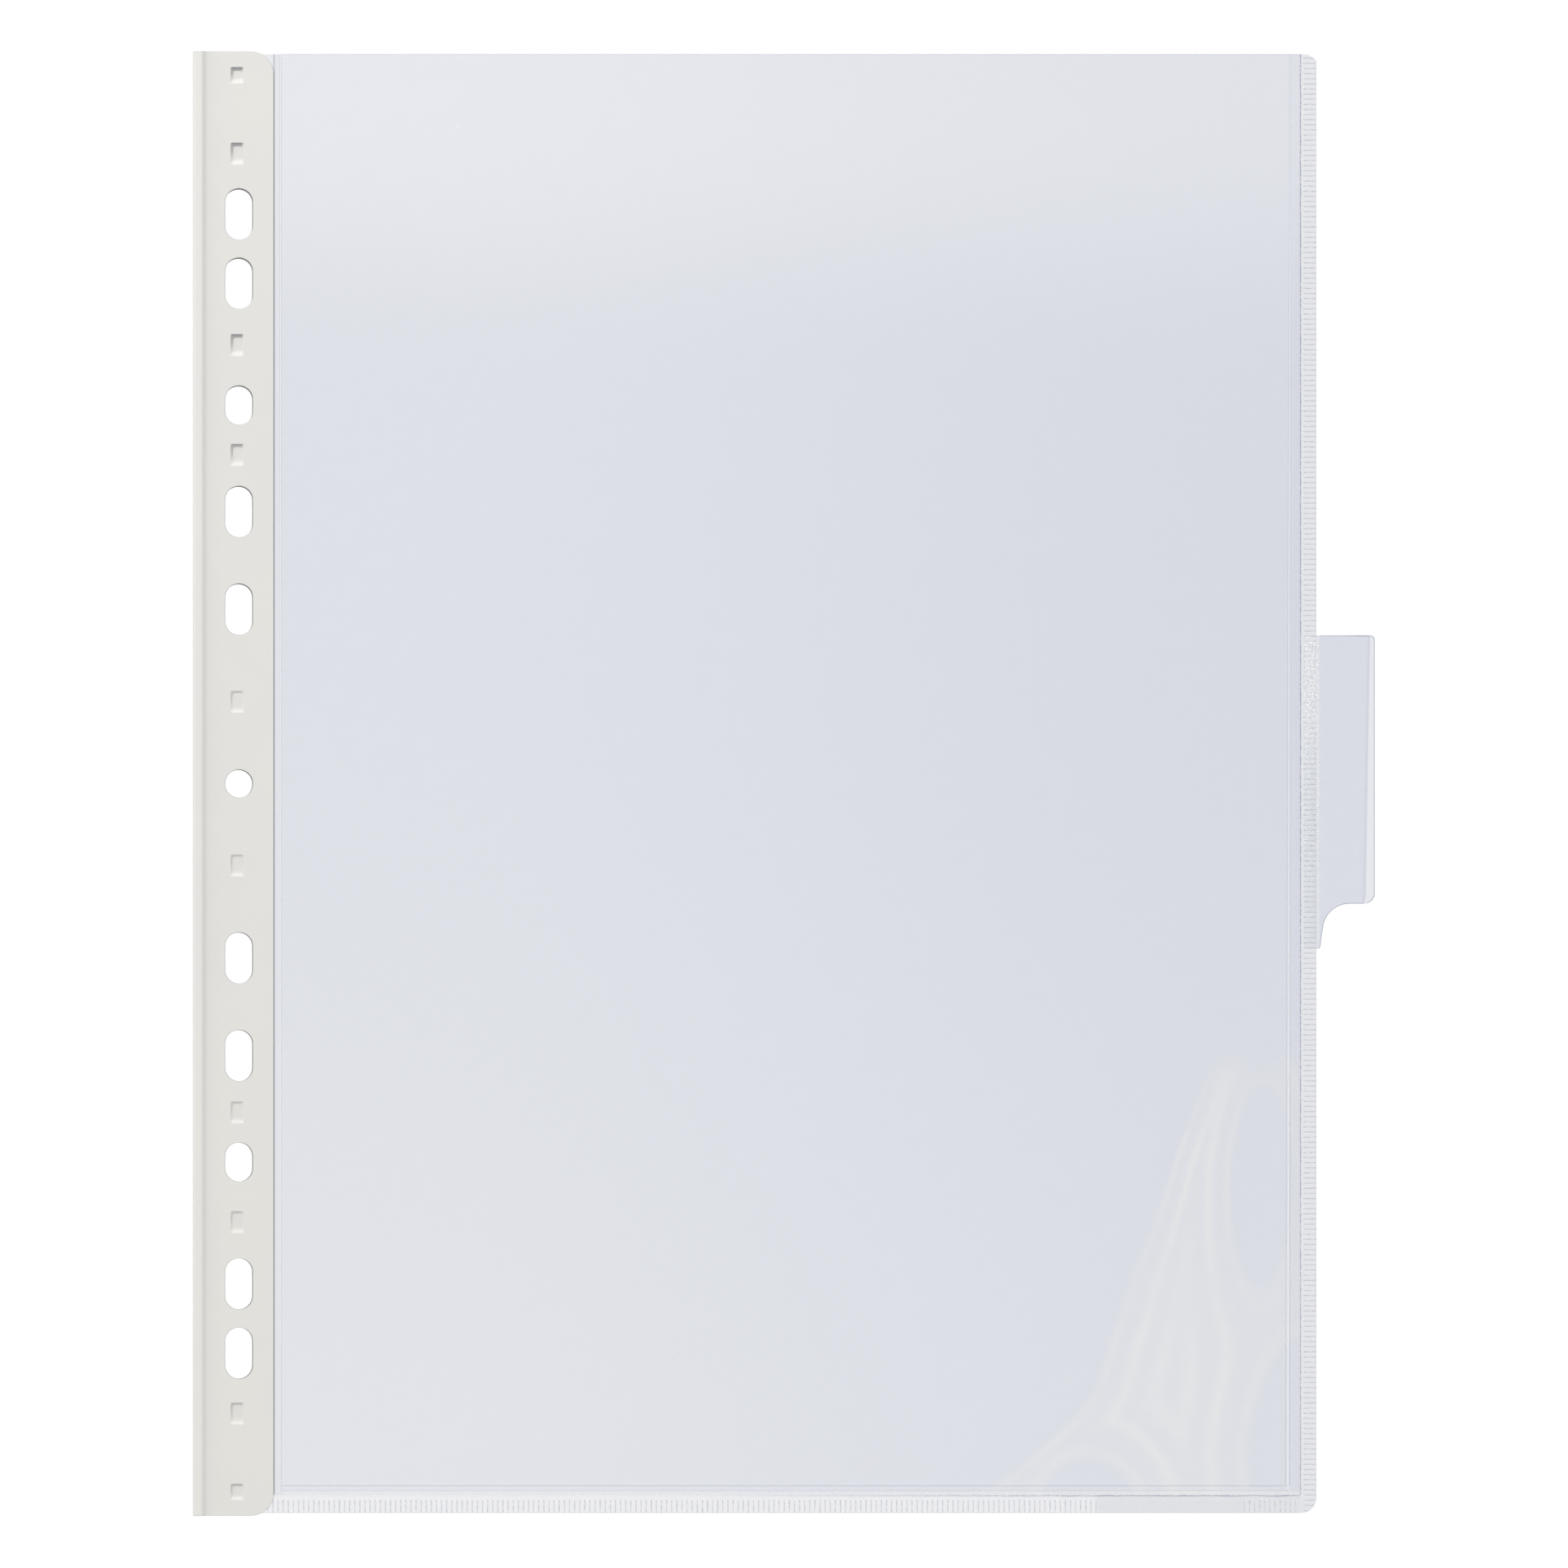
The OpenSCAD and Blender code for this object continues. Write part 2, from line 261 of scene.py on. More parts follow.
def put_in_scene(name: str, data: bpy.types.ID) -> bpy.types.Object:
    """Makes an object of a mesh, a lamp or a camera, at the origin.

    Args:
        name: The object's name.
        data: What it shows.

    Returns:
        The object.
    """
    made = bpy.data.objects.new(name, data)
    bpy.context.scene.collection.objects.link(made)
    return made


class Wire:
    """A node's output that takes part in Python expressions."""

    def __init__(self, graph: "Graph", socket: bpy.types.NodeSocket) -> None:
        """Keeps the node tree and the output socket."""
        self.graph = graph
        self.socket = socket

    def math(self, operation: str, *others: "Wire | float") -> "Wire":
        """Adds a Math node on this value.

        Args:
            operation: The Math node's operation.
            others: The values of its other sockets.

        Returns:
            The node's result.
        """
        return self.graph.calculate(operation, self, *others)

    def step(self, low: float, high: float) -> "Wire":
        """Adds a smooth step of this value, from 0 at low to 1 at high."""
        settings = {"interpolation_type": "SMOOTHSTEP"}
        return self.graph.add("ShaderNodeMapRange", settings, {0: self, 1: low, 2: high})

    def __add__(self, other: "Wire | float") -> "Wire":
        """This value plus another."""
        return self.math("ADD", other)

    def __radd__(self, other: float) -> "Wire":
        """A number plus this value."""
        return self.math("ADD", other)

    def __sub__(self, other: "Wire | float") -> "Wire":
        """This value minus another."""
        return self.math("SUBTRACT", other)

    def __rsub__(self, other: float) -> "Wire":
        """A number minus this value."""
        return self.graph.calculate("SUBTRACT", other, self)

    def __mul__(self, other: "Wire | float") -> "Wire":
        """This value times another."""
        return self.math("MULTIPLY", other)

    def __rmul__(self, other: float) -> "Wire":
        """A number times this value."""
        return self.math("MULTIPLY", other)

    def __truediv__(self, other: "Wire | float") -> "Wire":
        """This value divided by another."""
        return self.math("DIVIDE", other)

    def __pow__(self, other: float) -> "Wire":
        """This value raised to a power."""
        return self.math("POWER", other)


@dataclass(frozen=True)
class Scatter:
    """Small marks strewn over a surface, at most one to a cell; cells are counted to the metre."""

    turn: float
    cells: Triple
    rarity: float
    size: float
    strength: float


class Graph:
    """The node tree of a material or of the world."""

    def __init__(self, tree: bpy.types.NodeTree) -> None:
        """Empties the tree and keeps it."""
        tree.nodes.clear()
        self.tree = tree

    def add(
        self,
        kind: str,
        settings: dict[str, object] | None = None,
        sockets: dict[int | str, object] | None = None,
        output: int | str = 0,
    ) -> Wire:
        """Adds one node.

        Args:
            kind: The node's type.
            settings: Its properties, which are set first.
            sockets: Values or wires of its inputs.
            output: The output to hand back.

        Returns:
            A wire from that output.
        """
        node = self.tree.nodes.new(kind)
        for name, value in (settings or {}).items():
            setattr(node, name, value)
        for key, value in (sockets or {}).items():
            if isinstance(value, Wire):
                self.tree.links.new(value.socket, node.inputs[key])
            else:
                node.inputs[key].default_value = value
        return Wire(self, node.outputs[output])

    def calculate(self, operation: str, *values: Wire | float) -> Wire:
        """Adds a Math node on the given values."""
        return self.add("ShaderNodeMath", {"operation": operation}, dict(enumerate(values)))

    def object_place(self) -> Wire:
        """The place on the object, in metres of the frame."""
        return self.add("ShaderNodeTexCoord", output="Object")

    def split(self, vector: Wire) -> tuple[Wire, Wire, Wire]:
        """The three numbers of a vector."""
        node = self.add("ShaderNodeSeparateXYZ", sockets={0: vector}).socket.node
        return tuple(Wire(self, output) for output in node.outputs)

    def trace(self, trace: Trace) -> Wire:
        """A vertex attribute of the mesh, as a number."""
        return self.add("ShaderNodeAttribute", {"attribute_name": trace.value}, output="Fac")

    def noise(self, vector: Wire, scale: float, detail: float = 2.0) -> Wire:
        """A noise pattern around 0.5 on a vector."""
        sockets = {"Vector": vector, "Scale": scale, "Detail": detail}
        return self.add("ShaderNodeTexNoise", sockets=sockets)

    def turned(self, vector: Wire, angle: float, scale: Triple) -> Wire:
        """A vector turned about Z by an angle and then scaled along each axis."""
        sockets = {
            "Vector": vector,
            "Rotation": (0.0, 0.0, angle),
            "Scale": tuple(1 / share for share in scale),
        }
        return self.add("ShaderNodeMapping", {"vector_type": "TEXTURE"}, sockets)

    def band(self, value: Wire, at: float, half: float) -> Wire:
        """A soft band of a value round one of its levels."""
        return (value - at).math("ABSOLUTE").step(half, 0.0)

    def ellipse(self, x: Wire, y: Wire, centre: Point, half: Point) -> Wire:
        """Measures the distance from the middle of an ellipse.

        Args:
            x: The place across.
            y: The place up the page.
            centre: The ellipse's middle.
            half: Its half width and half height.

        Returns:
            The distance, which is 1 on the ellipse.
        """
        aside = (x - centre[0]) / half[0]
        ahead = (y - centre[1]) / half[1]
        return (aside * aside + ahead * ahead).math("SQRT")

    def scatter(self, place: Wire, marks: Scatter) -> Wire:
        """Strews small marks over a surface.

        Args:
            place: The place on the object.
            marks: How they lie, and how large, rare and strong they are.

        Returns:
            A mask from 0 to the marks' strength.
        """
        space = self.turned(place, marks.turn, marks.cells)
        cells = self.add("ShaderNodeTexVoronoi", sockets={"Vector": space, "Scale": 1.0})
        chance, _, _ = self.split(Wire(self, cells.socket.node.outputs["Color"]))
        dots = cells.step(marks.size, 0.5 * marks.size) * chance.math("GREATER_THAN", marks.rarity)
        return marks.strength * dots

    def mix_colour(self, factor: Wire | float, first: object, second: object) -> Wire:
        """A colour between two others."""
        sockets = {0: factor, 6: first, 7: second}
        return self.add("ShaderNodeMix", {"data_type": "RGBA"}, sockets, output=2)

    def mix_shader(self, factor: Wire | float, first: Wire, second: Wire) -> Wire:
        """A shader between two others."""
        return self.add("ShaderNodeMixShader", sockets={0: factor, 1: first, 2: second})

    def clear(self, tint_and_shadow: Colour) -> Wire:
        """A clear face that lets a tint of the light through."""
        return self.add("ShaderNodeBsdfTransparent", sockets={"Color": (*tint_and_shadow, 1.0)})

    def output(self, shader: Wire, kind: str = "ShaderNodeOutputMaterial") -> None:
        """Shows a shader as the tree's result."""
        node = self.tree.nodes.new(kind)
        self.tree.links.new(shader.socket, node.inputs["Surface"])


def new_material(name: str) -> tuple[bpy.types.Material, Graph]:
    """A new material and its empty node tree.

    Args:
        name: The material's name.

    Returns:
        The material and the graph that fills it.
    """
    material = bpy.data.materials.new(name)
    material.use_nodes = True
    return material, Graph(material.node_tree)


@dataclass(frozen=True)
class IvoryEnamel:
    """Satin ivory enamel on sheet steel."""

    name: str = "ivory_enamel"
    colour: Colour = (0.718, 0.714, 0.702)
    cooler: Colour = (0.706, 0.706, 0.702)
    # Dark colour of bare steel, also used for painted shade.
    bare_steel_and_shade: Colour = (0.225, 0.230, 0.250)
    # Colour of the painted highlights.
    painted_highlight: Colour = (0.860, 0.856, 0.840)
    roughness: float = 0.40
    cloud_roughness: float = 0.10
    peel_roughness: float = 0.08
    coat: float = 0.8
    coat_wear: float = 0.2
    coat_roughness: float = 0.16
    cloud_scale: float = 38.0
    cloud_detail: float = 3.0
    cloud_span: Span = (0.35, 0.65)
    peel_scale: float = 1400.0
    peel_height: float = 0.000004
    peel_strength: float = 0.5

    def material(self) -> bpy.types.Material:
        """Builds soft clouds of tone, orange peel, a glossy coat, painted highlights, and dark marks of bare
        steel and painted shade.

        Returns:
            The enamel.
        """
        material, graph = new_material(self.name)
        place = graph.object_place()
        clouds = graph.noise(place, self.cloud_scale, self.cloud_detail)
        grain = graph.noise(place, self.peel_scale)
        tone = graph.mix_colour(clouds.step(*self.cloud_span), (*self.colour, 1), (*self.cooler, 1))
        # painted highlight on the clinches' lower lips
        tone = graph.mix_colour(graph.trace(Trace.PALE_AND_HIGHLIGHT), tone, (*self.painted_highlight, 1))
        # dark marks: bare steel on the hole walls, and painted shade in the clinches, in the holes and along
        # the free edge
        tone = graph.mix_colour(graph.trace(Trace.MARK), tone, (*self.bare_steel_and_shade, 1))
        peel = graph.add("ShaderNodeBump", sockets={
            "Strength": self.peel_strength, "Distance": self.peel_height, "Height": grain})
        clouded = self.roughness + self.cloud_roughness * (clouds - 0.5)
        shader = graph.add("ShaderNodeBsdfPrincipled", sockets={
            "Base Color": tone,
            "Roughness": clouded + self.peel_roughness * (grain - 0.5),
            "Coat Weight": self.coat - self.coat_wear * clouds,
            "Coat Roughness": self.coat_roughness,
            "Normal": peel})
        graph.output(shader)
        return material


@dataclass(frozen=True)
class Cling:
    """Where the two films cling together the film is clearer, with painted reflections in bright bands along
    the edge of the touching patch.

    Places are in metres on the panel; the patch leans from its apex down to the foot of the pocket.
    """

    tint_and_shadow: Colour = (0.9540, 0.9511, 0.9413)
    apex: Point = (0.0917, -0.0613)
    lean: float = 0.354
    top: float = -0.0555
    fade: float = 0.010
    flare_from: float = 0.066
    flare: float = 24.0
    open_spots: tuple[tuple[Point, Point], ...] = (
        ((0.1029, -0.0874), (0.0072, 0.0236)),
        ((0.1115, -0.1430), (0.0126, 0.0250)),
        ((0.0655, -0.1575), (0.0115, 0.0135)),
    )
    # Painted reflection bands: depth, half width and strength.
    reflection_bands: tuple[Triple, ...] = (
        (0.0002, 0.0017, 0.36),
        (0.0050, 0.0017, 0.40),
        (0.0100, 0.0022, 0.32),
        (0.0165, 0.0034, 0.22),
    )
    narrowest: float = 0.55
    widening: float = 10.0
    base: float = 0.38
    edge: Span = (-0.002, 0.005)
    blur: float = 0.004
    sway: float = 0.003
    sway_scale: float = 36.0
    # Noise that varies the painted reflection bands' strength:
    band_vary_scale: float = 42.0
    band_vary_span: Span = (0.25, 0.75)
    band_vary_least: float = 0.45
    band_vary_gain: float = 0.85

    def depth(self, graph: Graph, place: Wire) -> tuple[Wire, Wire]:
        """How far inside the touching patch a place lies, and how near its top it is.

        Args:
            graph: The material's tree.
            place: The place on the object.

        Returns:
            The depth in metres, negative outside, and a fade from 1 in the patch to 0 above it.
        """
        x, y, _ = graph.split(place)
        x = x + self.sway * (graph.noise(place, self.sway_scale, 1.0) - 0.5)
        below = self.apex[1] - y
        flared = (below - self.flare_from).math("MAXIMUM", 0.0)
        depth = x - self.apex[0] + self.lean * below + self.flare * flared * flared
        for centre, half in self.open_spots:
            clear = half[0] * (graph.ellipse(x, y, centre, half) - 1.0)
            depth = depth.math("SMOOTH_MIN", clear, self.blur)
        spacing = self.narrowest + self.widening * below.math("MAXIMUM", 0.0)
        return depth / spacing, y.step(self.top, self.top - self.fade)

    def mask(self, graph: Graph, place: Wire) -> Wire:
        """Builds the clearer patch and the painted reflection bands along its edge.

        Args:
            graph: The material's tree.
            place: The place on the object.

        Returns:
            A mask from 0 to 1.
        """
        depth, reach = self.depth(graph, place)
        pale = self.base * depth.step(*self.edge)
        vary = graph.noise(place, self.band_vary_scale).step(*self.band_vary_span)
        varied = self.band_vary_least + self.band_vary_gain * vary
        # painted reflection bands, varied in strength by noise
        for at, half, strength in self.reflection_bands:
            pale = pale + strength * graph.band(depth, at, half) * varied
        return (reach * pale).math("MINIMUM", 1.0)


@dataclass(frozen=True)
class ClearFilm:
    """Clear glossy film with a cold cast, painted shade and painted highlights: scuffed, or printed with a
    weld's grain if it has one.
    """

    name: str = "clear_film"
    # darker than the film's own cast, to paint in the shadow it would throw on the paper
    tint_and_shadow: Colour = (0.9096, 0.9168, 0.9376)
    # tint of the painted shade on creases, grooves and edges
    mark_tint: Colour = (0.8050, 0.8200, 0.8550)
    # by default, the painted shade on a weld's squeezed-out bead
    seep_tint: Colour = (0.5000, 0.5250, 0.6200)
    # pale layer: scuffs and painted highlights
    scuff_and_highlight_colour: Colour = (0.96, 0.97, 0.98)
    scuff_and_highlight_roughness: float = 0.6
    gloss_roughness: float = 0.05
    mirror: float = 0.04
    mirror_power: float = 5.0
    grain: float = 0.0
    fine_scale: float = 4200.0
    fine_pale: Span = (0.50, 0.72)
    fine_dark: Span = (0.48, 0.34)
    # Painted glints and dark flecks of crumpled welds:
    glint_scale: float = 2300.0
    glint_span: Span = (0.51, 0.64)
    fleck_span: Span = (0.48, 0.40)
    fleck_grain: Span = (0.42, 0.56)
    fleck: float = 0.35
    scuffs: tuple[Scatter, ...] = (
        Scatter(turn=0.6, cells=(45.0, 700.0, 45.0), rarity=0.985, size=0.10, strength=0.08),
        Scatter(turn=0.0, cells=(70.0, 70.0, 70.0), rarity=0.90, size=0.014, strength=0.22),
    )
    cling: Cling | None = None

    def weld_print(self, graph: Graph, place: Wire, dark: Wire, pale: Wire) -> tuple[Wire, Wire]:
        """Adds a weld's fine speckle, and painted glints and painted dark flecks where it is crumpled.

        Args:
            graph: The material's tree.
            place: The place on the object.
            dark: How dark the pressed lines are.
            pale: How pale the surface is.

        Returns:
            Both masks with the print added.
        """
        crumple = graph.trace(Trace.CRUMPLE)
        fine = graph.noise(place, self.fine_scale, 1.0)
        glints = graph.noise(place, self.glint_scale)
        # painted glints where the weld is crumpled
        pale = pale + self.grain * fine.step(*self.fine_pale) + crumple * glints.step(*self.glint_span)
        # painted dark flecks among them
        flecks = glints.step(*self.fleck_span) * fine.step(*self.fleck_grain)
        dark = dark + 0.5 * self.grain * fine.step(*self.fine_dark) + self.fleck * crumple * flecks
        return dark.math("MINIMUM", 1.0), pale

    def material(self) -> bpy.types.Material:
        """Builds a tinted film with painted shade on creases, grooves and edges, pale where it is scuffed or
        a highlight is painted, and glossy.

        Returns:
            The film.
        """
        material, graph = new_material(self.name)
        place = graph.object_place()
        body = graph.clear(self.tint_and_shadow)
        if self.cling:
            body = graph.mix_shader(self.cling.mask(graph, place), body, graph.clear(self.cling.tint_and_shadow))
        dark, pale = graph.trace(Trace.MARK), graph.trace(Trace.PALE_AND_HIGHLIGHT)
        if self.grain:
            dark, pale = self.weld_print(graph, place, dark, pale)
        else:
            for marks in self.scuffs:
                pale = pale + graph.scatter(place, marks)
        # painted shade on creases, grooves and edges
        body = graph.mix_shader(dark, body, graph.clear(self.mark_tint))
        if self.grain:
            body = graph.mix_shader(graph.trace(Trace.SEEP), body, graph.clear(self.seep_tint))
        scuff_and_highlight_layer = graph.add("ShaderNodeBsdfPrincipled", sockets={
            "Base Color": (*self.scuff_and_highlight_colour, 1.0), "Roughness": self.scuff_and_highlight_roughness})
        # scuffs, painted highlights and painted glints
        body = graph.mix_shader(pale.math("MINIMUM", 1.0), body, scuff_and_highlight_layer)
        gloss = graph.add("ShaderNodeBsdfPrincipled", sockets={
            "Base Color": (1.0, 1.0, 1.0, 1.0), "Metallic": 1.0, "Roughness": self.gloss_roughness})
        facing = graph.add("ShaderNodeLayerWeight", sockets={"Blend": 0.5}, output="Facing")
        mirror = self.mirror + (1.0 - self.mirror) * facing ** self.mirror_power
        graph.output(graph.mix_shader(mirror, body, gloss))
        return material


@dataclass(frozen=True)
class PaperFloor:
    """White paper below the panel; it keeps the panel's shadow."""

    name: str = "white_paper"
    colour: Colour = (0.20, 0.20, 0.20)
    glow: float = 0.865

    def material(self) -> bpy.types.Material:
        """Builds a paper that is plain white to the eye and in reflections.

        Returns:
            The paper.
        """
        material, graph = new_material(self.name)
        path = graph.add("ShaderNodeLightPath").socket.node
        kinds = ("Camera", "Glossy", "Transmission")
        camera, glossy, through = (Wire(graph, path.outputs[f"Is {kind} Ray"]) for kind in kinds)
        seen = camera.math("MAXIMUM", glossy).math("MAXIMUM", through)
        paper = graph.add("ShaderNodeBsdfDiffuse", sockets={"Color": (*self.colour, 1.0)})
        light = graph.add("ShaderNodeEmission", sockets={"Strength": seen * self.glow})
        graph.output(graph.add("ShaderNodeAddShader", sockets={0: paper, 1: light}))
        return material


@dataclass(frozen=True)
class Ring:
    """The form and place of a closed loop.

    Its power is 2 for an ellipse and larger for a rectangle with ever smaller corners; stretch is
    how far its upper and lower halves are drawn apart, each way.
    """

    centre: Point
    half: Point
    z: float
    power: float = 2.0
    stretch: float = 0.0

    def place(self, turn: float) -> Triple:
        """Finds a point of the loop.

        Args:
            turn: Its direction, as an angle from +X.

        Returns:
            The point.
        """
        x, y = math.cos(turn), math.sin(turn)
        length = max(abs(x), abs(y))
        if math.isfinite(self.power):
            length = (abs(x) ** self.power + abs(y) ** self.power) ** (1 / self.power)
        drawn = 0.0 if abs(y) < 1e-6 else math.copysign(self.stretch, y)
        return (
            self.centre[0] + self.half[0] * x / length,
            self.centre[1] + self.half[1] * y / length + drawn,
            self.z,
        )


class Mesher:
    """A mesh under work, in millimetres, with heights above the films' middle plane."""

    def __init__(self) -> None:
        """Starts an empty mesh with the attributes that the finishes read."""
        self.bm = bmesh.new()
        self.mark = self.bm.verts.layers.float.new(Trace.MARK.value)
        self.frost = self.bm.verts.layers.float.new(Trace.PALE_AND_HIGHLIGHT.value)
        self.crumple = self.bm.verts.layers.float.new(Trace.CRUMPLE.value)
        self.seep = self.bm.verts.layers.float.new(Trace.SEEP.value)
        self.turn = self.bm.verts.layers.float.new("turn")

    def grid(self, xs: Sequence[float], ys: Sequence[float], z: float) -> None:
        """Lays a flat grid with its lines at the given places.

        Args:
            xs: The places of its columns.
            ys: The places of its rows.
            z: Its height.
        """
        wide, high = len(xs) - 1, len(ys) - 1
        made = bmesh.ops.create_grid(self.bm, x_segments=wide, y_segments=high, size=0.5)
        for vert in made["verts"]:
            column = round((vert.co.x + 0.5) * wide)
            row = round((vert.co.y + 0.5) * high)
            vert.co = (xs[column], ys[row], z)

    def loop(self, shape: Ring) -> list[BMEdge]:
        """Adds a closed loop, whose vertices remember how far round they are.

        Args:
            shape: The loop's form and place.

        Returns:
            The loop's edges.
        """
        made = bmesh.ops.create_circle(self.bm, cap_ends=False, radius=1.0, segments=LOOP_SIDES)
        for vert in made["verts"]:
            vert[self.turn] = math.atan2(vert.co.y, vert.co.x)
            vert.co = shape.place(vert[self.turn])
        return list(dict.fromkeys(edge for vert in made["verts"] for edge in vert.link_edges))

    def extrude(self, edges: list[BMEdge]) -> tuple[list[BMVert], list[BMEdge]]:
        """Extrudes edges into faces that still lie flat on them.

        Args:
            edges: The edges to start from.

        Returns:
            The new vertices and the edges between them.
        """
        made = bmesh.ops.extrude_edge_only(self.bm, edges=edges)["geom"]
        verts = [part for part in made if isinstance(part, BMVert)]
        fresh = set(verts)
        lines = [part for part in made if isinstance(part, BMEdge)]
        return verts, [line for line in lines if fresh.issuperset(line.verts)]

    def ring(self, edges: list[BMEdge], shape: Ring) -> list[BMEdge]:
        """Extrudes a loop into a band of faces that ends in another loop.

        Args:
            edges: The loop to start from.
            shape: The new loop's form and place.

        Returns:
            The new loop's edges.
        """
        verts, fresh = self.extrude(edges)
        for vert in verts:
            vert.co = shape.place(vert[self.turn])
        return fresh

    def line(self, points: Sequence[Triple]) -> list[BMVert]:
        """Adds an open line of edges.

        Args:
            points: The points that it goes through.

        Returns:
            Its vertices.
        """
        verts = [self.bm.verts.new(point) for point in points]
        for first, second in pairwise(verts):
            self.bm.edges.new((first, second))
        return verts

    def arc(self, start: BMVert, centre: Point, angle: float, steps: int) -> BMVert:
        """Spins a vertex into a level arc.

        Args:
            start: The vertex that the arc starts from.
            centre: The arc's middle.
            angle: How far it turns, counter-clockwise from above.
            steps: How many edges the arc has.

        Returns:
            The arc's last vertex.
        """
        made = bmesh.ops.spin(
            self.bm, geom=[start], cent=(*centre, start.co.z), axis=(0, 0, 1), dvec=(0, 0, 0),
            angle=angle, steps=steps)
        return next(part for part in made["geom_last"] if isinstance(part, BMVert))

    def draw_out(self, edges: list[BMEdge], shift: Triple) -> list[BMEdge]:
        """Extrudes edges and moves the new ones.

        Args:
            edges: The edges to extrude.
            shift: How far the new edges move.

        Returns:
            The new edges.
        """
        verts, fresh = self.extrude(edges)
        bmesh.ops.translate(self.bm, verts=verts, vec=shift)
        return fresh

    def cut(self, point: Point, normal: Point, drop: bool = False) -> None:
        """Cuts edges into the mesh along an upright plane.

        Args:
            point: A point on the plane, from the front.
            normal: The direction that the plane faces.
            drop: True to drop what lies on that side.
        """
        parts = [*self.bm.verts, *self.bm.edges, *self.bm.faces]
        bmesh.ops.bisect_plane(
            self.bm, geom=parts, dist=1e-6, plane_co=(*point, 0.0), plane_no=(*normal, 0.0),
            clear_outer=drop)

    def round_corner(self, centre: Point, radius: float, start: float, end: float) -> None:
        """Trims an outer corner to an arc.

        Args:
            centre: The arc's middle.
            radius: The arc's radius.
            start: The angle at which the arc starts.
            end: The angle at which it ends.
        """
        half = (end - start) / CORNER_FLATS / 2
        for i in range(CORNER_FLATS):
            angle = start + (2 * i + 1) * half
            way = (math.cos(angle), math.sin(angle))
            reach = radius * math.cos(half)
            self.cut((centre[0] + reach * way[0], centre[1] + reach * way[1]), way, drop=True)

    def weld(self) -> None:
        """Merges doubled vertices and turns the faces one way."""
        bmesh.ops.remove_doubles(self.bm, verts=list(self.bm.verts), dist=0.0005)
        bmesh.ops.recalc_face_normals(self.bm, faces=list(self.bm.faces))

    def face_up(self) -> None:
        """Turns an open sheet over if its highest face looks down."""
        highest = max(self.bm.faces, key=lambda face: face.calc_center_median().z)
        highest.normal_update()
        if highest.normal.z < 0:
            bmesh.ops.reverse_faces(self.bm, faces=list(self.bm.faces))

    def thicken(self, rule: Callable[[Vector], Triple]) -> None:
        """Gives an open sheet a second layer and closes the rim between them.

        Args:
            rule: Says where a point of the second layer goes.
        """
        made = bmesh.ops.extrude_face_region(self.bm, geom=list(self.bm.faces))["geom"]
        for part in made:
            if isinstance(part, BMVert):
                part.co = rule(part.co)
        bmesh.ops.recalc_face_normals(self.bm, faces=list(self.bm.faces))

    def thicken_down(self, thickness: float) -> None:
        """Thickens a level sheet downwards."""
        self.thicken(lambda place: (place.x, place.y, place.z - thickness))

    def soften(self, edges: list[BMEdge], width: float, segments: int) -> None:
        """Rounds edges over."""
        bmesh.ops.bevel(
            self.bm, geom=edges, offset=width, segments=segments, profile=0.5, affect="EDGES",
            material=-1)

    def move(self, rule: Callable[[BMVert], Triple]) -> None:
        """Moves each vertex to where a rule says."""
        for vert in self.bm.verts:
            vert.co = rule(vert)

    def write(self, name: str, mid_z: float, material: bpy.types.Material) -> bpy.types.Object:
        """Makes the mesh an object of the scene, in the frame's metres.

        Args:
            name: The piece's name.
            mid_z: The height of the films' middle plane.
            material: The piece's finish.

        Returns:
            The new object, at the origin.
        """
        into_frame = Matrix.Scale(MM, 4) @ Matrix.Translation((0, 0, mid_z))
        bmesh.ops.transform(self.bm, matrix=into_frame, verts=list(self.bm.verts))
        self.bm.verts.layers.float.remove(self.turn)
        mesh = bpy.data.meshes.new(name)
        self.bm.to_mesh(mesh)
        self.bm.free()
        mesh.shade_smooth()
        mesh.set_sharp_from_angle(angle=SHARP_ANGLE)
        mesh.materials.append(material)
        return put_in_scene(name, mesh)


def bend_over_fold(piece: bpy.types.Object, layout: Layout) -> None:
    """Lets a piece bend on the fold, from the strip's edge to just past the fold line.

    Args:
        piece: The piece that crosses the fold.
        layout: The panel's places.
    """
    height = layout.mid_z * MM
    start = ((layout.strip_edge_x + BEND_AFTER_STRIP) * MM, 0.0, height)
    end = ((layout.fold_x + BEND_PAST_FOLD) * MM, 0.0, height)
    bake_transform(piece, Body.STRIP.value, Body.PANEL.value, start=start, end=end)


@dataclass(frozen=True)
class Tag:
    """How a piece hangs on the frame; one without a body of its own bends over the fold."""

    name: str
    nodes: tuple[str, ...]
    slot: Slot
    body: Body | None = None


@dataclass
class Piece:
    """One piece of the panel, modelled by its own class in a mesh under work."""

    tag: ClassVar[Tag]
    layout: Layout
    mesher: Mesher = field(init=False, repr=False, default_factory=Mesher)

    def model(self) -> None:
        """Models and dresses the piece."""
        raise NotImplementedError

    def build(self, material: bpy.types.Material) -> bpy.types.Object:
        """Models the piece and hangs it on the frame.

        Args:
            material: Its finish.

        Returns:
            The piece.
        """
        self.model()
        tag = self.tag
        piece = self.mesher.write(tag.name, self.layout.mid_z, material)
        if tag.body:
            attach(piece, tag.body.value)
        else:
            bend_over_fold(piece, self.layout)
        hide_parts(*tag.nodes)
        return piece


@dataclass(frozen=True)
class Punch:
    """One hole or clinch in the line along the strip."""

    kind: PunchKind
    y: float
    half_l: float


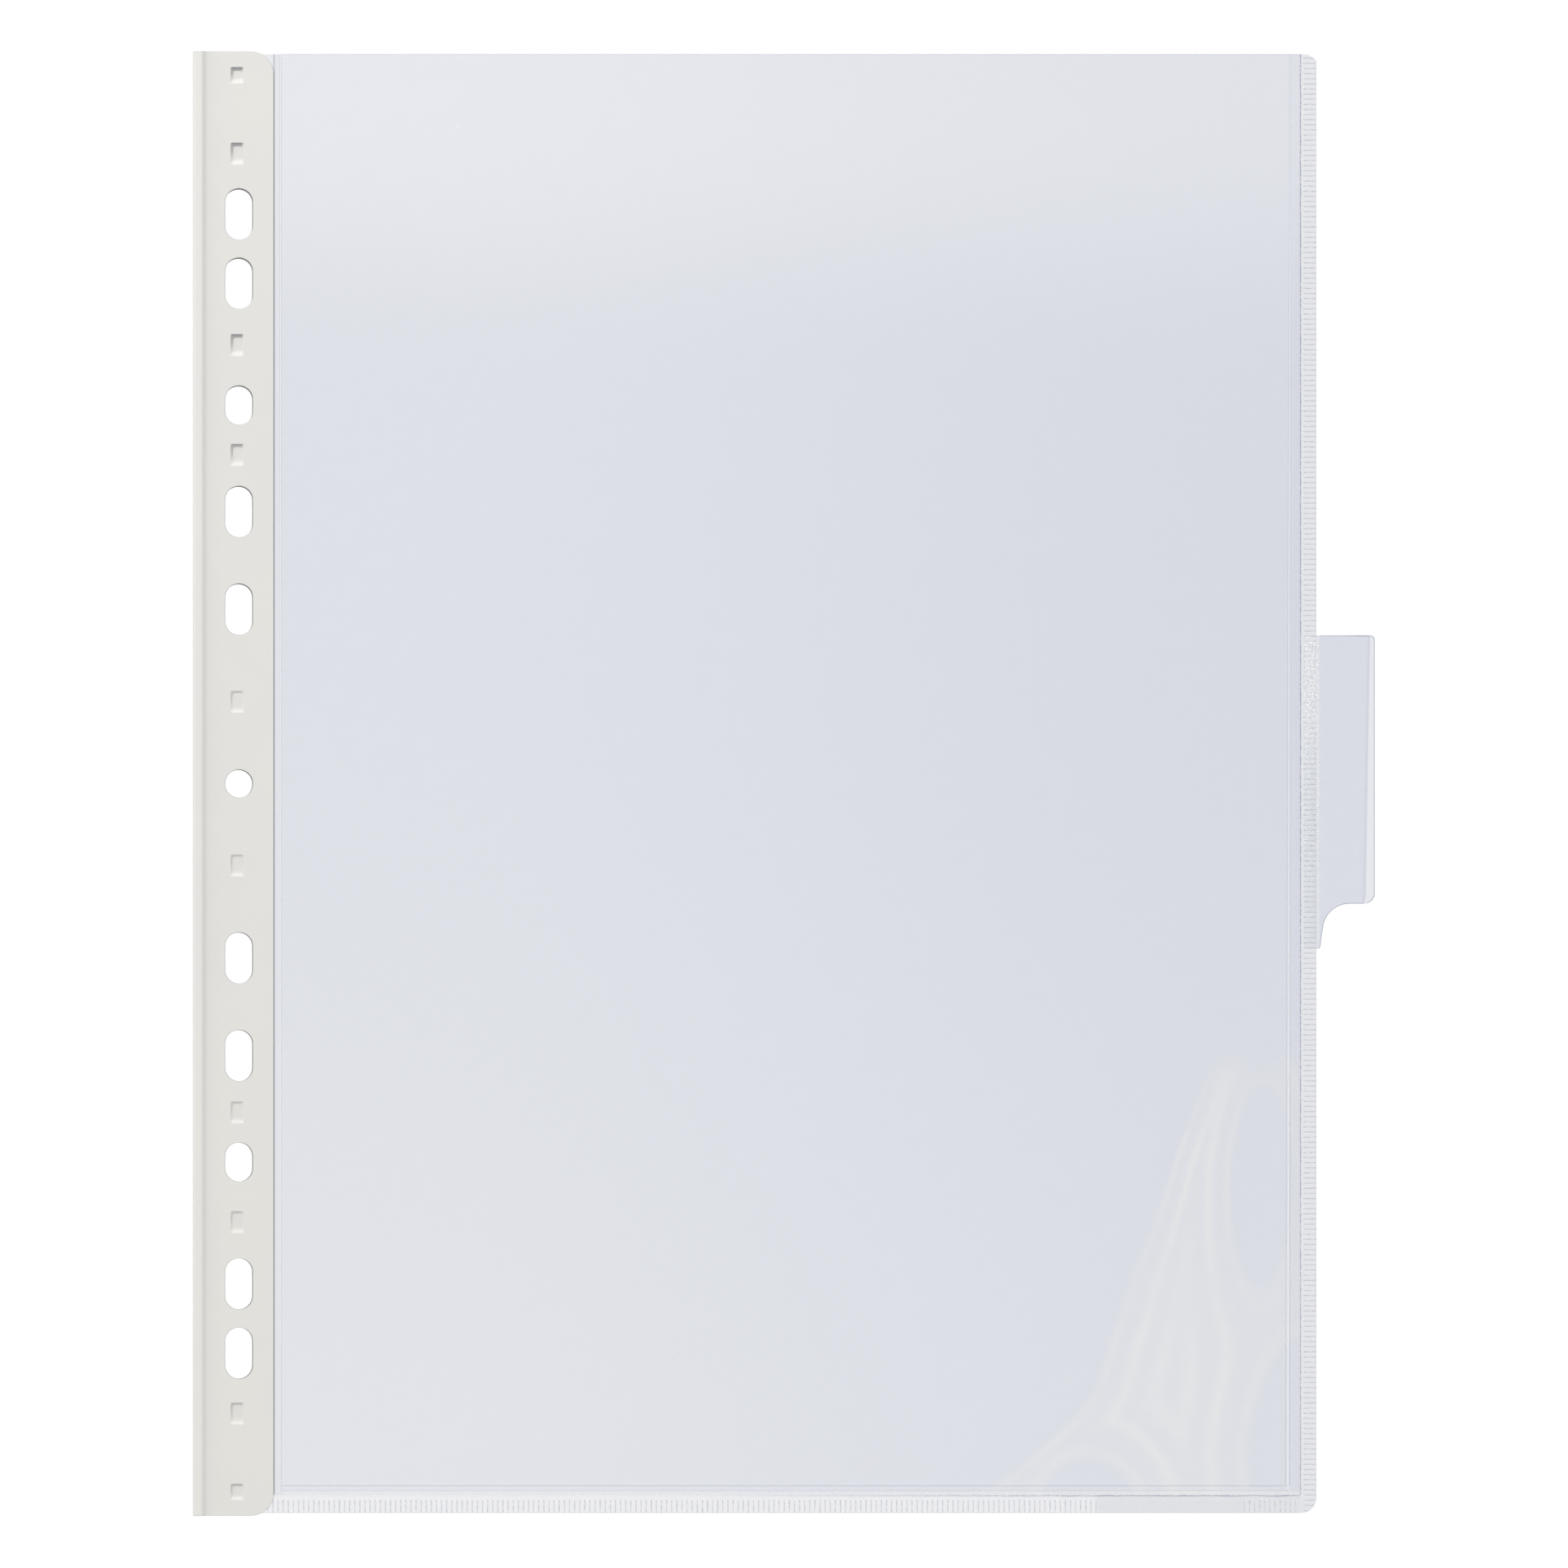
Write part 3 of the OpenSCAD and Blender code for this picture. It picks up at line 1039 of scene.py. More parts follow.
@dataclass
class PunchLine:
    """The line of ring holes and clinches along the strip."""

    layout: Layout
    clinch_x_inset: float = 9.6
    clinch_half_w: float = 1.35
    clinch_half_l: float = 2.3
    clinch_end_half_l: float = 1.7
    clinch_offsets: tuple[float, ...] = (17.6, 70.7, 94.3, 135.47)
    clinch_end_inset: float = 5.2

    @cached_property
    def round_hole(self) -> dict:
        """The record's mount at the round hole."""
        return next(mount for mount in frame["record"]["mounts"] if mount["kind"] == "bore")

    @property
    def hole_x(self) -> float:
        """The line of the holes."""
        return self.round_hole["pos_m"][0] / MM

    @property
    def hole_r(self) -> float:
        """Radius of the round hole and of the slots' ends."""
        return self.round_hole["dims"]["r_mm"]

    @property
    def clinch_x(self) -> float:
        """The line of the clinches."""
        return self.layout.spine_x + self.clinch_x_inset

    @cached_property
    def punches(self) -> list[Punch]:
        """Joins the record's holes and the clinches.

        Returns:
            Every punch from the bottom of the strip to its top.
        """
        mounts = frame["record"]["mounts"]
        pairs = [mount["dims"] for mount in mounts if mount["kind"] == "bolt_pattern"]
        end = self.layout.strip_end_y - self.clinch_end_inset
        found = [Punch(PunchKind.HOLE, self.round_hole["pos_m"][1] / MM, self.hole_r)]
        for side in (-1, 1):
            for pair in pairs:
                y = side * pair["spacing_y_mm"] / 2
                found.append(Punch(PunchKind.HOLE, y, pair["slot_length_mm"] / 2))
            for offset in self.clinch_offsets:
                found.append(Punch(PunchKind.CLINCH, side * offset, self.clinch_half_l))
            found.append(Punch(PunchKind.CLINCH, side * end, self.clinch_end_half_l))
        return sorted(found, key=lambda punch: punch.y)


@dataclass
class PunchedBand:
    """A flat band along the spine, tiled in cells that each hold one punch."""

    x0: float
    x1: float
    end_y: float
    corner_r: float
    punches: list[Punch]

    def cells(self) -> Iterator[tuple[Punch, float, float]]:
        """Shares the band out between the punches.

        Yields:
            Each punch with the lower and upper end of its cell.
        """
        borders = [(a.y + a.half_l + b.y - b.half_l) / 2 for a, b in pairwise(self.punches)]
        ends = [-self.end_y, *borders, self.end_y]
        yield from ((punch, low, high) for punch, (low, high) in zip(self.punches, pairwise(ends)))

    def cell_loop(self, mesher: Mesher, low: float, high: float, z: float) -> list[BMEdge]:
        """Adds the outline of a cell, rounded at the band's free corners.

        Args:
            mesher: The mesh under work.
            low: The cell's lower end.
            high: The cell's upper end.
            z: The band's height.

        Returns:
            The outline's edges.
        """
        centre = ((self.x0 + self.x1) / 2, (low + high) / 2)
        half = ((self.x1 - self.x0) / 2, (high - low) / 2)
        edges = mesher.loop(Ring(centre, half, z, power=math.inf))
        round_x = self.x1 - self.corner_r
        round_y = self.end_y - self.corner_r
        for vert in {vert for edge in edges for vert in edge.verts}:
            away = Vector((vert.co.x - round_x, abs(vert.co.y) - round_y))
            if self.corner_r and min(away) > 0:
                away *= self.corner_r / away.length
                vert.co = (round_x + away.x, math.copysign(round_y + away.y, vert.co.y), z)
        return edges


@dataclass
class FilingStrip(Piece):
    """Painted steel strip, folded over the films' spine edge and clinched through them.

    The spans that paint shade and highlights into a clinch are shares of its half width and half length.
    """

    tag: ClassVar[Tag] = Tag("steel_strip", ("filing_strip",), Slot.STEEL, Body.STRIP)
    line: PunchLine
    sheet: float = 0.4
    bead_w: float = 3.15
    bead_step: float = 0.12
    crest: float = 1.95
    crest_tilt: float = 0.12
    nose_w: float = 0.8
    nose_power: float = 2.4
    nose_steps: int = 12
    corner_r: float = 5.0
    rim_round: float = 0.13
    rim_segments: int = 3
    rim_support: float = 0.22
    rim_angle: float = math.radians(65)
    rear_shift: Point = (-0.23, -0.22)
    recess_depth: float = 0.55
    button_height: float = 0.25
    shallow_share: float = 0.30
    collar: float = 0.14
    collar_power: float = 12.0
    rim_power: float = 14.0
    floor_power: float = 9.0
    flat_power: float = 6.0
    floor_round: float = 0.2
    wall_top: float = 0.62
    wall_low: float = 0.80
    wall_left: float = 0.45
    wall_right: float = 0.30
    least_press: float = 0.36
    upper_span: Span = (10.0, 105.0)
    foot_press: float = 0.14
    foot_span: Span = (90.0, 155.0)
    depth_share: Span = (0.4, 1.0)
    wall_share: Span = (0.35, 1.0)
    # Painted shade in the clinches, as if lit from the upper left, and painted highlights on their feet:
    rim_shade: float = 1.0
    wall_foot_shade: float = 0.6
    floor_shade: float = 0.04
    top_span: Span = (0.80, 0.97)
    top_end: Span = (1.02, 0.85)
    left_shade: float = 0.6
    left_span: Span = (-0.80, -0.97)
    left_end: Span = (-1.0, 0.6)
    foot_shine: float = 0.8
    low_span: Span = (-0.75, -0.97)
    # Bare steel with painted shade on the holes' walls, and a painted shadow line along the free edge:
    bare_steel_and_shadow: float = 0.9
    wall_mark_depth: float = 0.06
    shadow_line_reach: float = 0.08

    @property
    def leg_out(self) -> float:
        """Height of the legs' outer faces."""
        return self.layout.film_t + self.sheet

    @property
    def flat_x(self) -> float:
        """Where the bead ends and the flat of the legs starts."""
        return self.layout.spine_x + self.bead_w

    def bead_height(self, across: float) -> float:
        """Finds the height of the bead's outer face.

        Args:
            across: The distance from the spine.

        Returns:
            The height.
        """
        nose = (1 - max(0.0, 1 - across / self.nose_w) ** self.nose_power) ** (1 / self.nose_power)
        roof = nose * (self.layout.bead_r - self.crest_tilt * max(0.0, self.crest - across))
        return roof + (self.leg_out - roof) * smooth(across, self.crest, self.bead_w)

    def band(self) -> PunchedBand:
        """The flat of one leg, from the hollow to the free edge."""
        layout = self.layout
        return PunchedBand(
            self.flat_x, layout.strip_edge_x, layout.strip_end_y, self.corner_r, self.line.punches)

    def pressed(self, y: float) -> float:
        """How hard a clinch was pressed: hardest up the page, least in the middle."""
        upper = between((self.least_press, 1.0), smooth(y, *self.upper_span))
        return upper + self.foot_press * smooth(-y, *self.foot_span)

    def press(self, edges: list[BMEdge], punch: Punch, depth: float) -> None:
        """Presses a loop into the sheet, deepest at its upper end.

        Args:
            edges: The loop to press.
            punch: The clinch that it belongs to.
            depth: How deep its upper end goes.
        """
        for vert in {vert for edge in edges for vert in edge.verts}:
            share = (vert.co.y - punch.y) / punch.half_l / 2 + 0.5
            vert.co.z -= depth * between((self.shallow_share, 1.0), share)

    def clinch(self, cell: list[BMEdge], punch: Punch, z: float, depth: float) -> None:
        """Fills a cell with a clinch: a rim, walls that lean and a sloping floor.

        Args:
            cell: The cell's outline.
            punch: The clinch.
            z: Height of the leg's face.
            depth: How deep the clinch is pressed.
        """
        mesher, x = self.mesher, self.line.clinch_x
        half_w, half_l = self.line.clinch_half_w, punch.half_l
        wide = (half_w + self.collar, half_l + self.collar)
        edges = mesher.ring(cell, Ring((x, punch.y), wide, z, power=self.collar_power))
        rim = Ring((x, punch.y), (half_w, half_l), z, power=self.rim_power)
        edges = mesher.ring(edges, rim)
        self.shade(edges, rim, self.rim_shade)
        hard = self.pressed(punch.y)
        depth *= between(self.depth_share, hard)
        walls = (self.wall_left, self.wall_right, self.wall_top, self.wall_low)
        left, right, top, low = (between(self.wall_share, hard) * wall for wall in walls)
        middle = (x + (left - right) / 2, punch.y + (low - top) / 2)
        half = (half_w - (left + right) / 2, half_l - (low + top) / 2)
        floor = Ring(middle, half, z, power=self.floor_power)
        inner_half = (half[0] - self.floor_round, half[1] - self.floor_round)
        flat = Ring(middle, inner_half, z, power=self.flat_power)
        for ring, strength in ((floor, self.wall_foot_shade), (flat, 0.0)):
            edges = mesher.ring(edges, ring)
            self.press(edges, punch, depth)
            self.shade(edges, floor, strength)
        bmesh.ops.edgeloop_fill(mesher.bm, edges=edges)

    def shade(self, edges: list[BMEdge], ring: Ring, strength: float) -> None:
        """Paints shade on the upper and left side of a loop in a clinch of the front leg, and a highlight on
        its foot.

        Args:
            edges: The loop.
            ring: The loop's form.
            strength: How dark the painted shade on its upper side becomes.
        """
        if ring.z < 0:
            return
        darkest = strength * self.pressed(ring.centre[1])
        for vert in {vert for edge in edges for vert in edge.verts}:
            aside = (vert.co.x - ring.centre[0]) / ring.half[0]
            ahead = (vert.co.y - ring.centre[1]) / ring.half[1]
            top = smooth(ahead, *self.top_span) * smooth(aside, *self.top_end)
            left = self.left_shade * smooth(aside, *self.left_span) * smooth(ahead, *self.left_end)
            # painted shade on the upper and left side, and a faint painted shade on the floor
            dark = darkest * max(top, left)
            vert[self.mesher.mark] = max(dark, self.floor_shade * (1 - strength))
            # painted highlight on the clinch's lower lip
            vert[self.mesher.frost] = self.foot_shine * smooth(ahead, *self.low_span)

    def leg(self, z: float, depth: float, shift: Point) -> None:
        """Lays one leg of the strip as a sheet with its holes and clinches.

        Args:
            z: Height of the leg's outer face.
            depth: How far its clinches are pressed.
            shift: How far its holes sit off their line, and the topmost ones off their place along it.
        """
        radius = self.line.hole_r
        band = self.band()
        for punch, low, high in band.cells():
            cell = band.cell_loop(self.mesher, low, high, z)
            if punch.kind is PunchKind.CLINCH:
                self.clinch(cell, punch, z, depth)
                continue
            off_y = shift[1] * (1 + punch.y / band.end_y) / 2
            centre = (self.line.hole_x + shift[0], punch.y + off_y)
            self.mesher.ring(cell, Ring(centre, (radius, radius), z, stretch=punch.half_l - radius))

    def bead(self) -> None:
        """Rolls the bead between the two legs, row by row up the strip."""
        mesher = self.mesher
        limit = self.flat_x + 1e-3
        rows = sorted({round(vert.co.y, 4) for vert in mesher.bm.verts if vert.co.x < limit})
        turns = [math.pi / 2 * i / self.nose_steps for i in range(self.nose_steps)]
        nose = [self.nose_w * (1 - math.cos(turn)) for turn in turns]
        across = [*nose, *spread(self.nose_w, self.bead_w, self.bead_step), self.bead_w]
        upper = [(self.layout.spine_x + d, rows[0], self.bead_height(d)) for d in reversed(across)]
        lower = [(x, y, -z) for x, y, z in reversed(upper[:-1])]
        before = set(mesher.bm.edges)
        mesher.line([*upper, *lower])
        edges = [edge for edge in mesher.bm.edges if edge not in before]
        for first, second in pairwise(rows):
            edges = mesher.draw_out(edges, (0, second - first, 0))

    def edge_mark(self, place: Vector) -> float:
        """Darkens the holes' walls as bare steel with painted shade, and paints a shadow line along the free
        edge.

        Args:
            place: A place on the strip.

        Returns:
            How dark it is painted there, from 0 to 1.
        """
        layout = self.layout
        # hole walls: bare steel, with painted shade where the rear leg shows in a hole
        beside = abs(place.x - self.line.hole_x)
        if beside < self.line.hole_r + 0.02 and abs(place.y) < layout.strip_end_y - 1:
            depth = self.leg_out - abs(place.z)
            return 0.0 if self.in_clinch(place) else self.bare_steel_and_shadow * smooth(depth, 0.0, self.wall_mark_depth)
        # a painted shadow line along the straight part of the free edge
        straight = abs(place.y) < layout.strip_end_y - 0.8 * self.corner_r
        at_edge = place.x > layout.strip_edge_x - self.shadow_line_reach
        return self.bare_steel_and_shadow if at_edge and straight else 0.0

    def in_clinch(self, place: Vector) -> bool:
        """True where a place lies in a clinch."""
        clinches = (punch for punch in self.line.punches if punch.kind is PunchKind.CLINCH)
        return any(abs(place.y - punch.y) < punch.half_l + self.collar for punch in clinches)

    def inside(self, place: Vector) -> Triple:
        """Finds the sheet's inner face.

        Args:
            place: A point of its outer face.

        Returns:
            The point behind it.
        """
        side = math.copysign(1.0, place.z)
        across = place.x - self.layout.spine_x
        if across > self.bead_w - 1e-4:
            return place.x, place.y, place.z - side * self.sheet
        if across < 1e-4:
            return place.x + self.sheet, place.y, place.z
        reach = min(0.002, across)
        slope = (self.bead_height(across + reach) - self.bead_height(across - reach)) / (2 * reach)
        share = self.sheet / math.hypot(1, slope)
        return place.x + slope * share, place.y, place.z - side * share

    def model(self) -> None:
        """Lays both legs and the bead as one sheet, thickens it inwards and rounds its rims."""
        mesher = self.mesher
        self.leg(self.leg_out, self.recess_depth, (0.0, 0.0))
        self.leg(-self.leg_out, self.button_height, self.rear_shift)
        self.bead()
        mesher.weld()
        mesher.face_up()
        bmesh.ops.inset_region(
            mesher.bm, faces=list(mesher.bm.faces), thickness=self.rim_support, use_boundary=True,
            use_even_offset=True)
        skin = {self.spot(vert) for vert in mesher.bm.verts}
        mesher.thicken(self.inside)
        rims = []
        for edge in mesher.bm.edges:
            outside = all(self.spot(vert) in skin for vert in edge.verts)
            if outside and edge.calc_face_angle(0.0) > self.rim_angle:
                rims.append(edge)
        mesher.soften(rims, self.rim_round, self.rim_segments)
        end_y = self.layout.strip_end_y
        for vert in mesher.bm.verts:
            vert.co.y = min(end_y, max(-end_y, vert.co.y))
            vert[mesher.mark] = max(vert[mesher.mark], self.edge_mark(vert.co))

    @staticmethod
    def spot(vert: BMVert) -> tuple[float, ...]:
        """The place of a vertex, rounded for comparing."""
        return tuple(round(part, 3) for part in vert.co)


@dataclass
class FilmMargin(Piece):
    """The punched edge of one film, held between the strip's legs."""

    line: PunchLine
    side: int
    node: str
    x1: float
    hole_margin: float = 0.15
    clinch_clearance: float = 0.1
    clinch_power: float = 12.0
    skin_gap: float = 0.01

    @property
    def tag(self) -> Tag:
        """How the margin hangs on the frame."""
        return Tag(f"{self.node}_sheet", (self.node,), Slot.FILM, Body.STRIP)

    def model(self) -> None:
        """Lays the margin with a window round each hole and clinch."""
        layout, mesher, line = self.layout, self.mesher, self.line
        top = layout.film_t - self.skin_gap if self.side > 0 else -self.skin_gap
        band = PunchedBand(layout.margin_x0, self.x1, layout.mouth_y, 0.0, line.punches)
        radius = line.hole_r + self.hole_margin
        clear = self.clinch_clearance
        for punch, low, high in band.cells():
            cell = band.cell_loop(mesher, low, high, top)
            if punch.kind is PunchKind.HOLE:
                stretch = punch.half_l - line.hole_r
                window = Ring((line.hole_x, punch.y), (radius, radius), top, stretch=stretch)
            else:
                half = (line.clinch_half_w + clear, punch.half_l + clear)
                window = Ring((line.clinch_x, punch.y), half, top, power=self.clinch_power)
            mesher.ring(cell, window)
        mesher.weld()
        mesher.face_up()
        mesher.thicken_down(layout.film_t - 2 * self.skin_gap)


@dataclass
class FoldSeam(Piece):
    """Weld beside the strip, with the pressed bead that the panel folds on."""

    tag: ClassVar[Tag] = Tag("fold_seam_sheet", ("fold_seam",), Slot.WELD)
    x0: float
    foot_y: float
    held_half: float = 0.19
    valley_half: float = 0.15
    bead_half: float = 0.25
    bead_reach: float = 0.16
    valley_reach: float = 0.32
    notch_depth: float = 0.10
    row_step: float = 6.0
    fade: Span = (0.25, 1.0)
    fade_span: Span = (-60.0, 150.0)

    def upper_line(self) -> list[Triple]:
        """The front of the seam's section, from the strip to the pocket.

        Returns:
            Points as place across, height and how dark it is painted there: a painted shadow line at the
            strip's edge and painted shade on the fold bead's far slope.
        """
        layout = self.layout
        edge, fold, pocket = layout.strip_edge_x, layout.fold_x, layout.pocket_x0
        return [
            (self.x0, self.held_half, 0.0),
            (edge - 0.30, self.held_half, 0.0),
            # painted shadow line where the strip's edge shades the seam
            (edge - 0.02, self.held_half, 1.0),
            (edge + 0.14, self.held_half - 0.01, 0.8),
            (edge + 0.24, self.valley_half, 0.14),
            (fold - self.valley_reach, self.valley_half, 0.08),
            (fold - self.bead_reach, self.bead_half - 0.04, 0.04),
            (fold, self.bead_half, 0.1),
            # painted shade on the bead's far slope
            (fold + self.bead_reach, self.bead_half - 0.04, 0.32),
            (fold + self.valley_reach, self.valley_half, 0.24),
            (fold + self.valley_reach + 0.12, self.valley_half + 0.03, 0.0),
            (pocket - 0.08, layout.pocket_half - 0.03, 0.0),
            (pocket, layout.pocket_half, 0.0),
        ]

    def model(self) -> None:
        """Draws the seam's section up the page; its painted shade is fainter beyond the fold, down the page.
        """
        layout, mesher = self.layout, self.mesher
        upper = self.upper_line()
        inner_half = layout.pocket_half - layout.film_t
        notch = [
            (layout.pocket_x0, inner_half, 0.0),
            (layout.pocket_x0 - self.notch_depth, 0.0, 0.0),
            (layout.pocket_x0, -inner_half, 0.0),
        ]
        lower = [(x, -z, mark) for x, z, mark in reversed(upper)]
        section = upper + notch + lower
        rows = [*spread(self.foot_y, layout.mouth_y, self.row_step), layout.mouth_y]
        verts = mesher.line([(x, rows[0], z) for x, z, _ in section])
        for vert, (_, _, mark) in zip(verts, section):
            vert[mesher.mark] = mark
        mesher.bm.edges.new((verts[-1], verts[0]))
        foot = list(mesher.bm.edges)
        edges = foot
        for first, second in pairwise(rows):
            edges = mesher.draw_out(edges, (0, second - first, 0))
        for end in (foot, edges):
            bmesh.ops.edgeloop_fill(mesher.bm, edges=end)
        mesher.weld()
        for vert in mesher.bm.verts:
            if vert.co.x > layout.fold_x:
                vert[mesher.mark] *= between(self.fade, smooth(vert.co.y, *self.fade_span))


@dataclass
class PocketFilm(Piece):
    """One film of the pocket, from the fold to the weld's inner line.

    A span of painted shade or of paleness runs from the mouth of the pocket to its bottom crease.
    """

    side: int
    node: str
    weld_x: float
    weld_y: float
    side_step_w: float = 0.45
    foot_step_w: float = 1.0
    step_share: float = 0.72
    coarse_step: float = 5.0
    wave_height: float = 0.03
    wave_length: float = 70.0
    still_w: float = 20.0
    line_w: float = 0.12
    edge_line_w: float = 0.16
    ridge_w: float = 0.06
    inner_gap: float = 0.004
    crease_lean: float = 0.82
    step_lean: float = 0.31
    # Painted shade on creases, steps and the mouth's edge, a painted highlight on the side ridge, and a
    # paler foot:
    crease_mark: Span = (0.35, 0.75)
    step_mark: Span = (0.45, 0.75)
    foot_mark: float = 0.80
    foot_step_mark: float = 0.30
    mouth_mark: float = 0.90
    beyond_mark: float = 0.06
    ridge_highlight: Span = (0.08, 0.58)
    foot_pale: float = 0.17

    @property
    def tag(self) -> Tag:
        """How the film hangs on the frame."""
        return Tag(f"{self.node}_sheet", (self.node,), Slot.FILM, Body.PANEL)

    def columns(self) -> list[float]:
        """Spaces the mesh lines across the film, close together at the creases.

        Returns:
            Their places.
        """
        layout = self.layout
        crease = layout.pocket_x1
        step = crease + self.side_step_w
        near = [layout.pocket_x0, layout.pocket_x0 + self.line_w, layout.pocket_x0 + 0.4]
        flat = spread(layout.pocket_x0 + 1.0, crease - 2.0, self.coarse_step)
        ridge = crease + self.side_step_w / 2
        fall = [
            crease - 2.0, crease - self.line_w, crease, crease + 0.10,
            ridge - self.ridge_w, ridge, ridge + self.ridge_w,
            step - 0.10, step, step + self.line_w,
        ]
        return [*near, *flat, *fall, step + 0.5, self.weld_x - 0.3, self.weld_x - 0.1, self.weld_x]

    def rows(self) -> list[float]:
        """Spaces the mesh lines up the film, close together at the crease and the mouth.

        Returns:
            Their places.
        """
        layout = self.layout
        crease = layout.pocket_y0
        step = crease - self.foot_step_w
        foot = [self.weld_y, self.weld_y + 0.1, self.weld_y + 0.3, step - 0.4]
        lines = [at + off for at in (step, crease) for off in (-self.line_w, 0.0, self.line_w)]
        flat = spread(crease + 1.0, layout.mouth_y - 1.0, self.coarse_step)
        mouth = [layout.mouth_y - 0.5, layout.mouth_y - self.edge_line_w, layout.mouth_y]
        return [*foot, *lines, crease + 0.5, *flat, *mouth]

    def fall(self, beyond: float, step_w: float, whole_w: float) -> float:
        """How far the film has come down past a crease, from 0 to 1.

        Args:
            beyond: Distance past the crease.
            step_w: Width of the crease's own step.
            whole_w: Distance from the crease to the weld.

        Returns:
            The share of the whole drop.
        """
        if beyond <= 0:
            return 0.0
        stepped = self.step_share * smooth(beyond, 0, step_w)
        return stepped + (1 - self.step_share) * smooth(beyond, step_w, whole_w)

    def height(self, x: float, y: float) -> float:
        """Finds the height of the film's outer face.

        Args:
            x: The place across.
            y: The place up the page.

        Returns:
            The height above the middle plane.
        """
        layout = self.layout
        aside = self.fall(x - layout.pocket_x1, self.side_step_w, self.weld_x - layout.pocket_x1)
        below = self.fall(layout.pocket_y0 - y, self.foot_step_w, layout.pocket_y0 - self.weld_y)
        share = max(aside, below)
        wave = noise.noise(Vector((x, y, 40.0 * self.side)) / self.wave_length)
        still = smooth(x, layout.pocket_x0, layout.pocket_x0 + self.still_w)
        still *= smooth(x, layout.pocket_x1, layout.pocket_x1 - self.still_w)
        still *= smooth(y, layout.pocket_y0, layout.pocket_y0 + self.still_w)
        flat = layout.pocket_half + self.wave_height * wave * still
        return flat + (layout.weld_half - flat) * share

    def mark(self, x: float, y: float) -> float:
        """Paints shade along the creases and their steps, along the mouth's cut edge and faintly past the
        side step.

        Args:
            x: The place across.
            y: The place up the page.

        Returns:
            How dark the film is there, from 0 to 1.
        """
        layout = self.layout
        step_x = layout.pocket_x1 + self.side_step_w
        step_y = layout.pocket_y0 - self.foot_step_w
        above = 1.0 if y > layout.pocket_y0 - 0.05 else 0.0
        inside = 1.0 if x < layout.pocket_x1 + 0.2 else 0.0
        low = self.low_share(y)
        lines = [
            between(self.crease_mark, low) * above * bump(x, layout.pocket_x1, self.line_w),
            between(self.step_mark, low) * above * bump(x, step_x, self.line_w),
            self.foot_mark * inside * bump(y, layout.pocket_y0, self.line_w),
            self.foot_step_mark * inside * bump(y, step_y, self.line_w),
            self.mouth_mark * bump(y, layout.mouth_y, self.edge_line_w),
            self.beyond_mark * smooth(x, step_x + 0.1, step_x + 0.5),
        ]
        return max(lines)

    def low_share(self, y: float) -> float:
        """How far down the page a place lies, from 0 at the mouth to 1 at the bottom crease."""
        layout = self.layout
        return clamp((layout.mouth_y - y) / (layout.mouth_y - layout.pocket_y0))

    def frost(self, x: float, y: float) -> float:
        """Paints a highlight on the ridge of the side crease and makes the film under the bottom one paler.

        Args:
            x: The place across.
            y: The place up the page.

        Returns:
            How pale the film is there, from 0 to 1.
        """
        layout = self.layout
        ridge = bump(x, layout.pocket_x1 + self.side_step_w / 2, self.ridge_w)
        above = 1.0 if y > layout.pocket_y0 - 0.05 else 0.0
        step_y = layout.pocket_y0 - self.foot_step_w
        under = self.foot_pale * smooth(y, step_y, step_y - 0.4)
        return max(between(self.ridge_highlight, self.low_share(y)) * ridge * above, under)

    def lean(self, x: float, y: float) -> float:
        """Slants the side crease.

        Args:
            x: The place across.
            y: The place up the page.

        Returns:
            How far it has wandered inwards there.
        """
        layout = self.layout
        crease, step = layout.pocket_x1, layout.pocket_x1 + self.side_step_w
        knots = [
            (crease - 2.0, 0.0),
            (crease, self.crease_lean),
            (step, self.step_lean),
            (step + 0.5, self.step_lean),
            (self.weld_x - 0.3, 0.0),
        ]
        for (x0, shift0), (x1, shift1) in pairwise(knots):
            if x0 <= x < x1:
                return self.low_share(y) * between((shift0, shift1), (x - x0) / (x1 - x0))
        return 0.0

    def model(self) -> None:
        """Lays the film over its creases, paints its shade, highlights and paleness and gives it its
        thickness.
        """
        mesher = self.mesher
        mesher.grid(self.columns(), self.rows(), 0.0)
        for vert in mesher.bm.verts:
            x, y, _ = vert.co
            vert[mesher.mark] = self.mark(x, y)
            vert[mesher.frost] = self.frost(x, y) if self.side > 0 else 0.0
            vert.co = (x - self.lean(x, y), y, self.height(x, y))
        mesher.thicken_down(self.layout.film_t)
        for vert in mesher.bm.verts:
            vert.co.z = self.side * max(vert.co.z, self.inner_gap)
        if self.side < 0:
            bmesh.ops.reverse_faces(mesher.bm, faces=list(mesher.bm.faces))


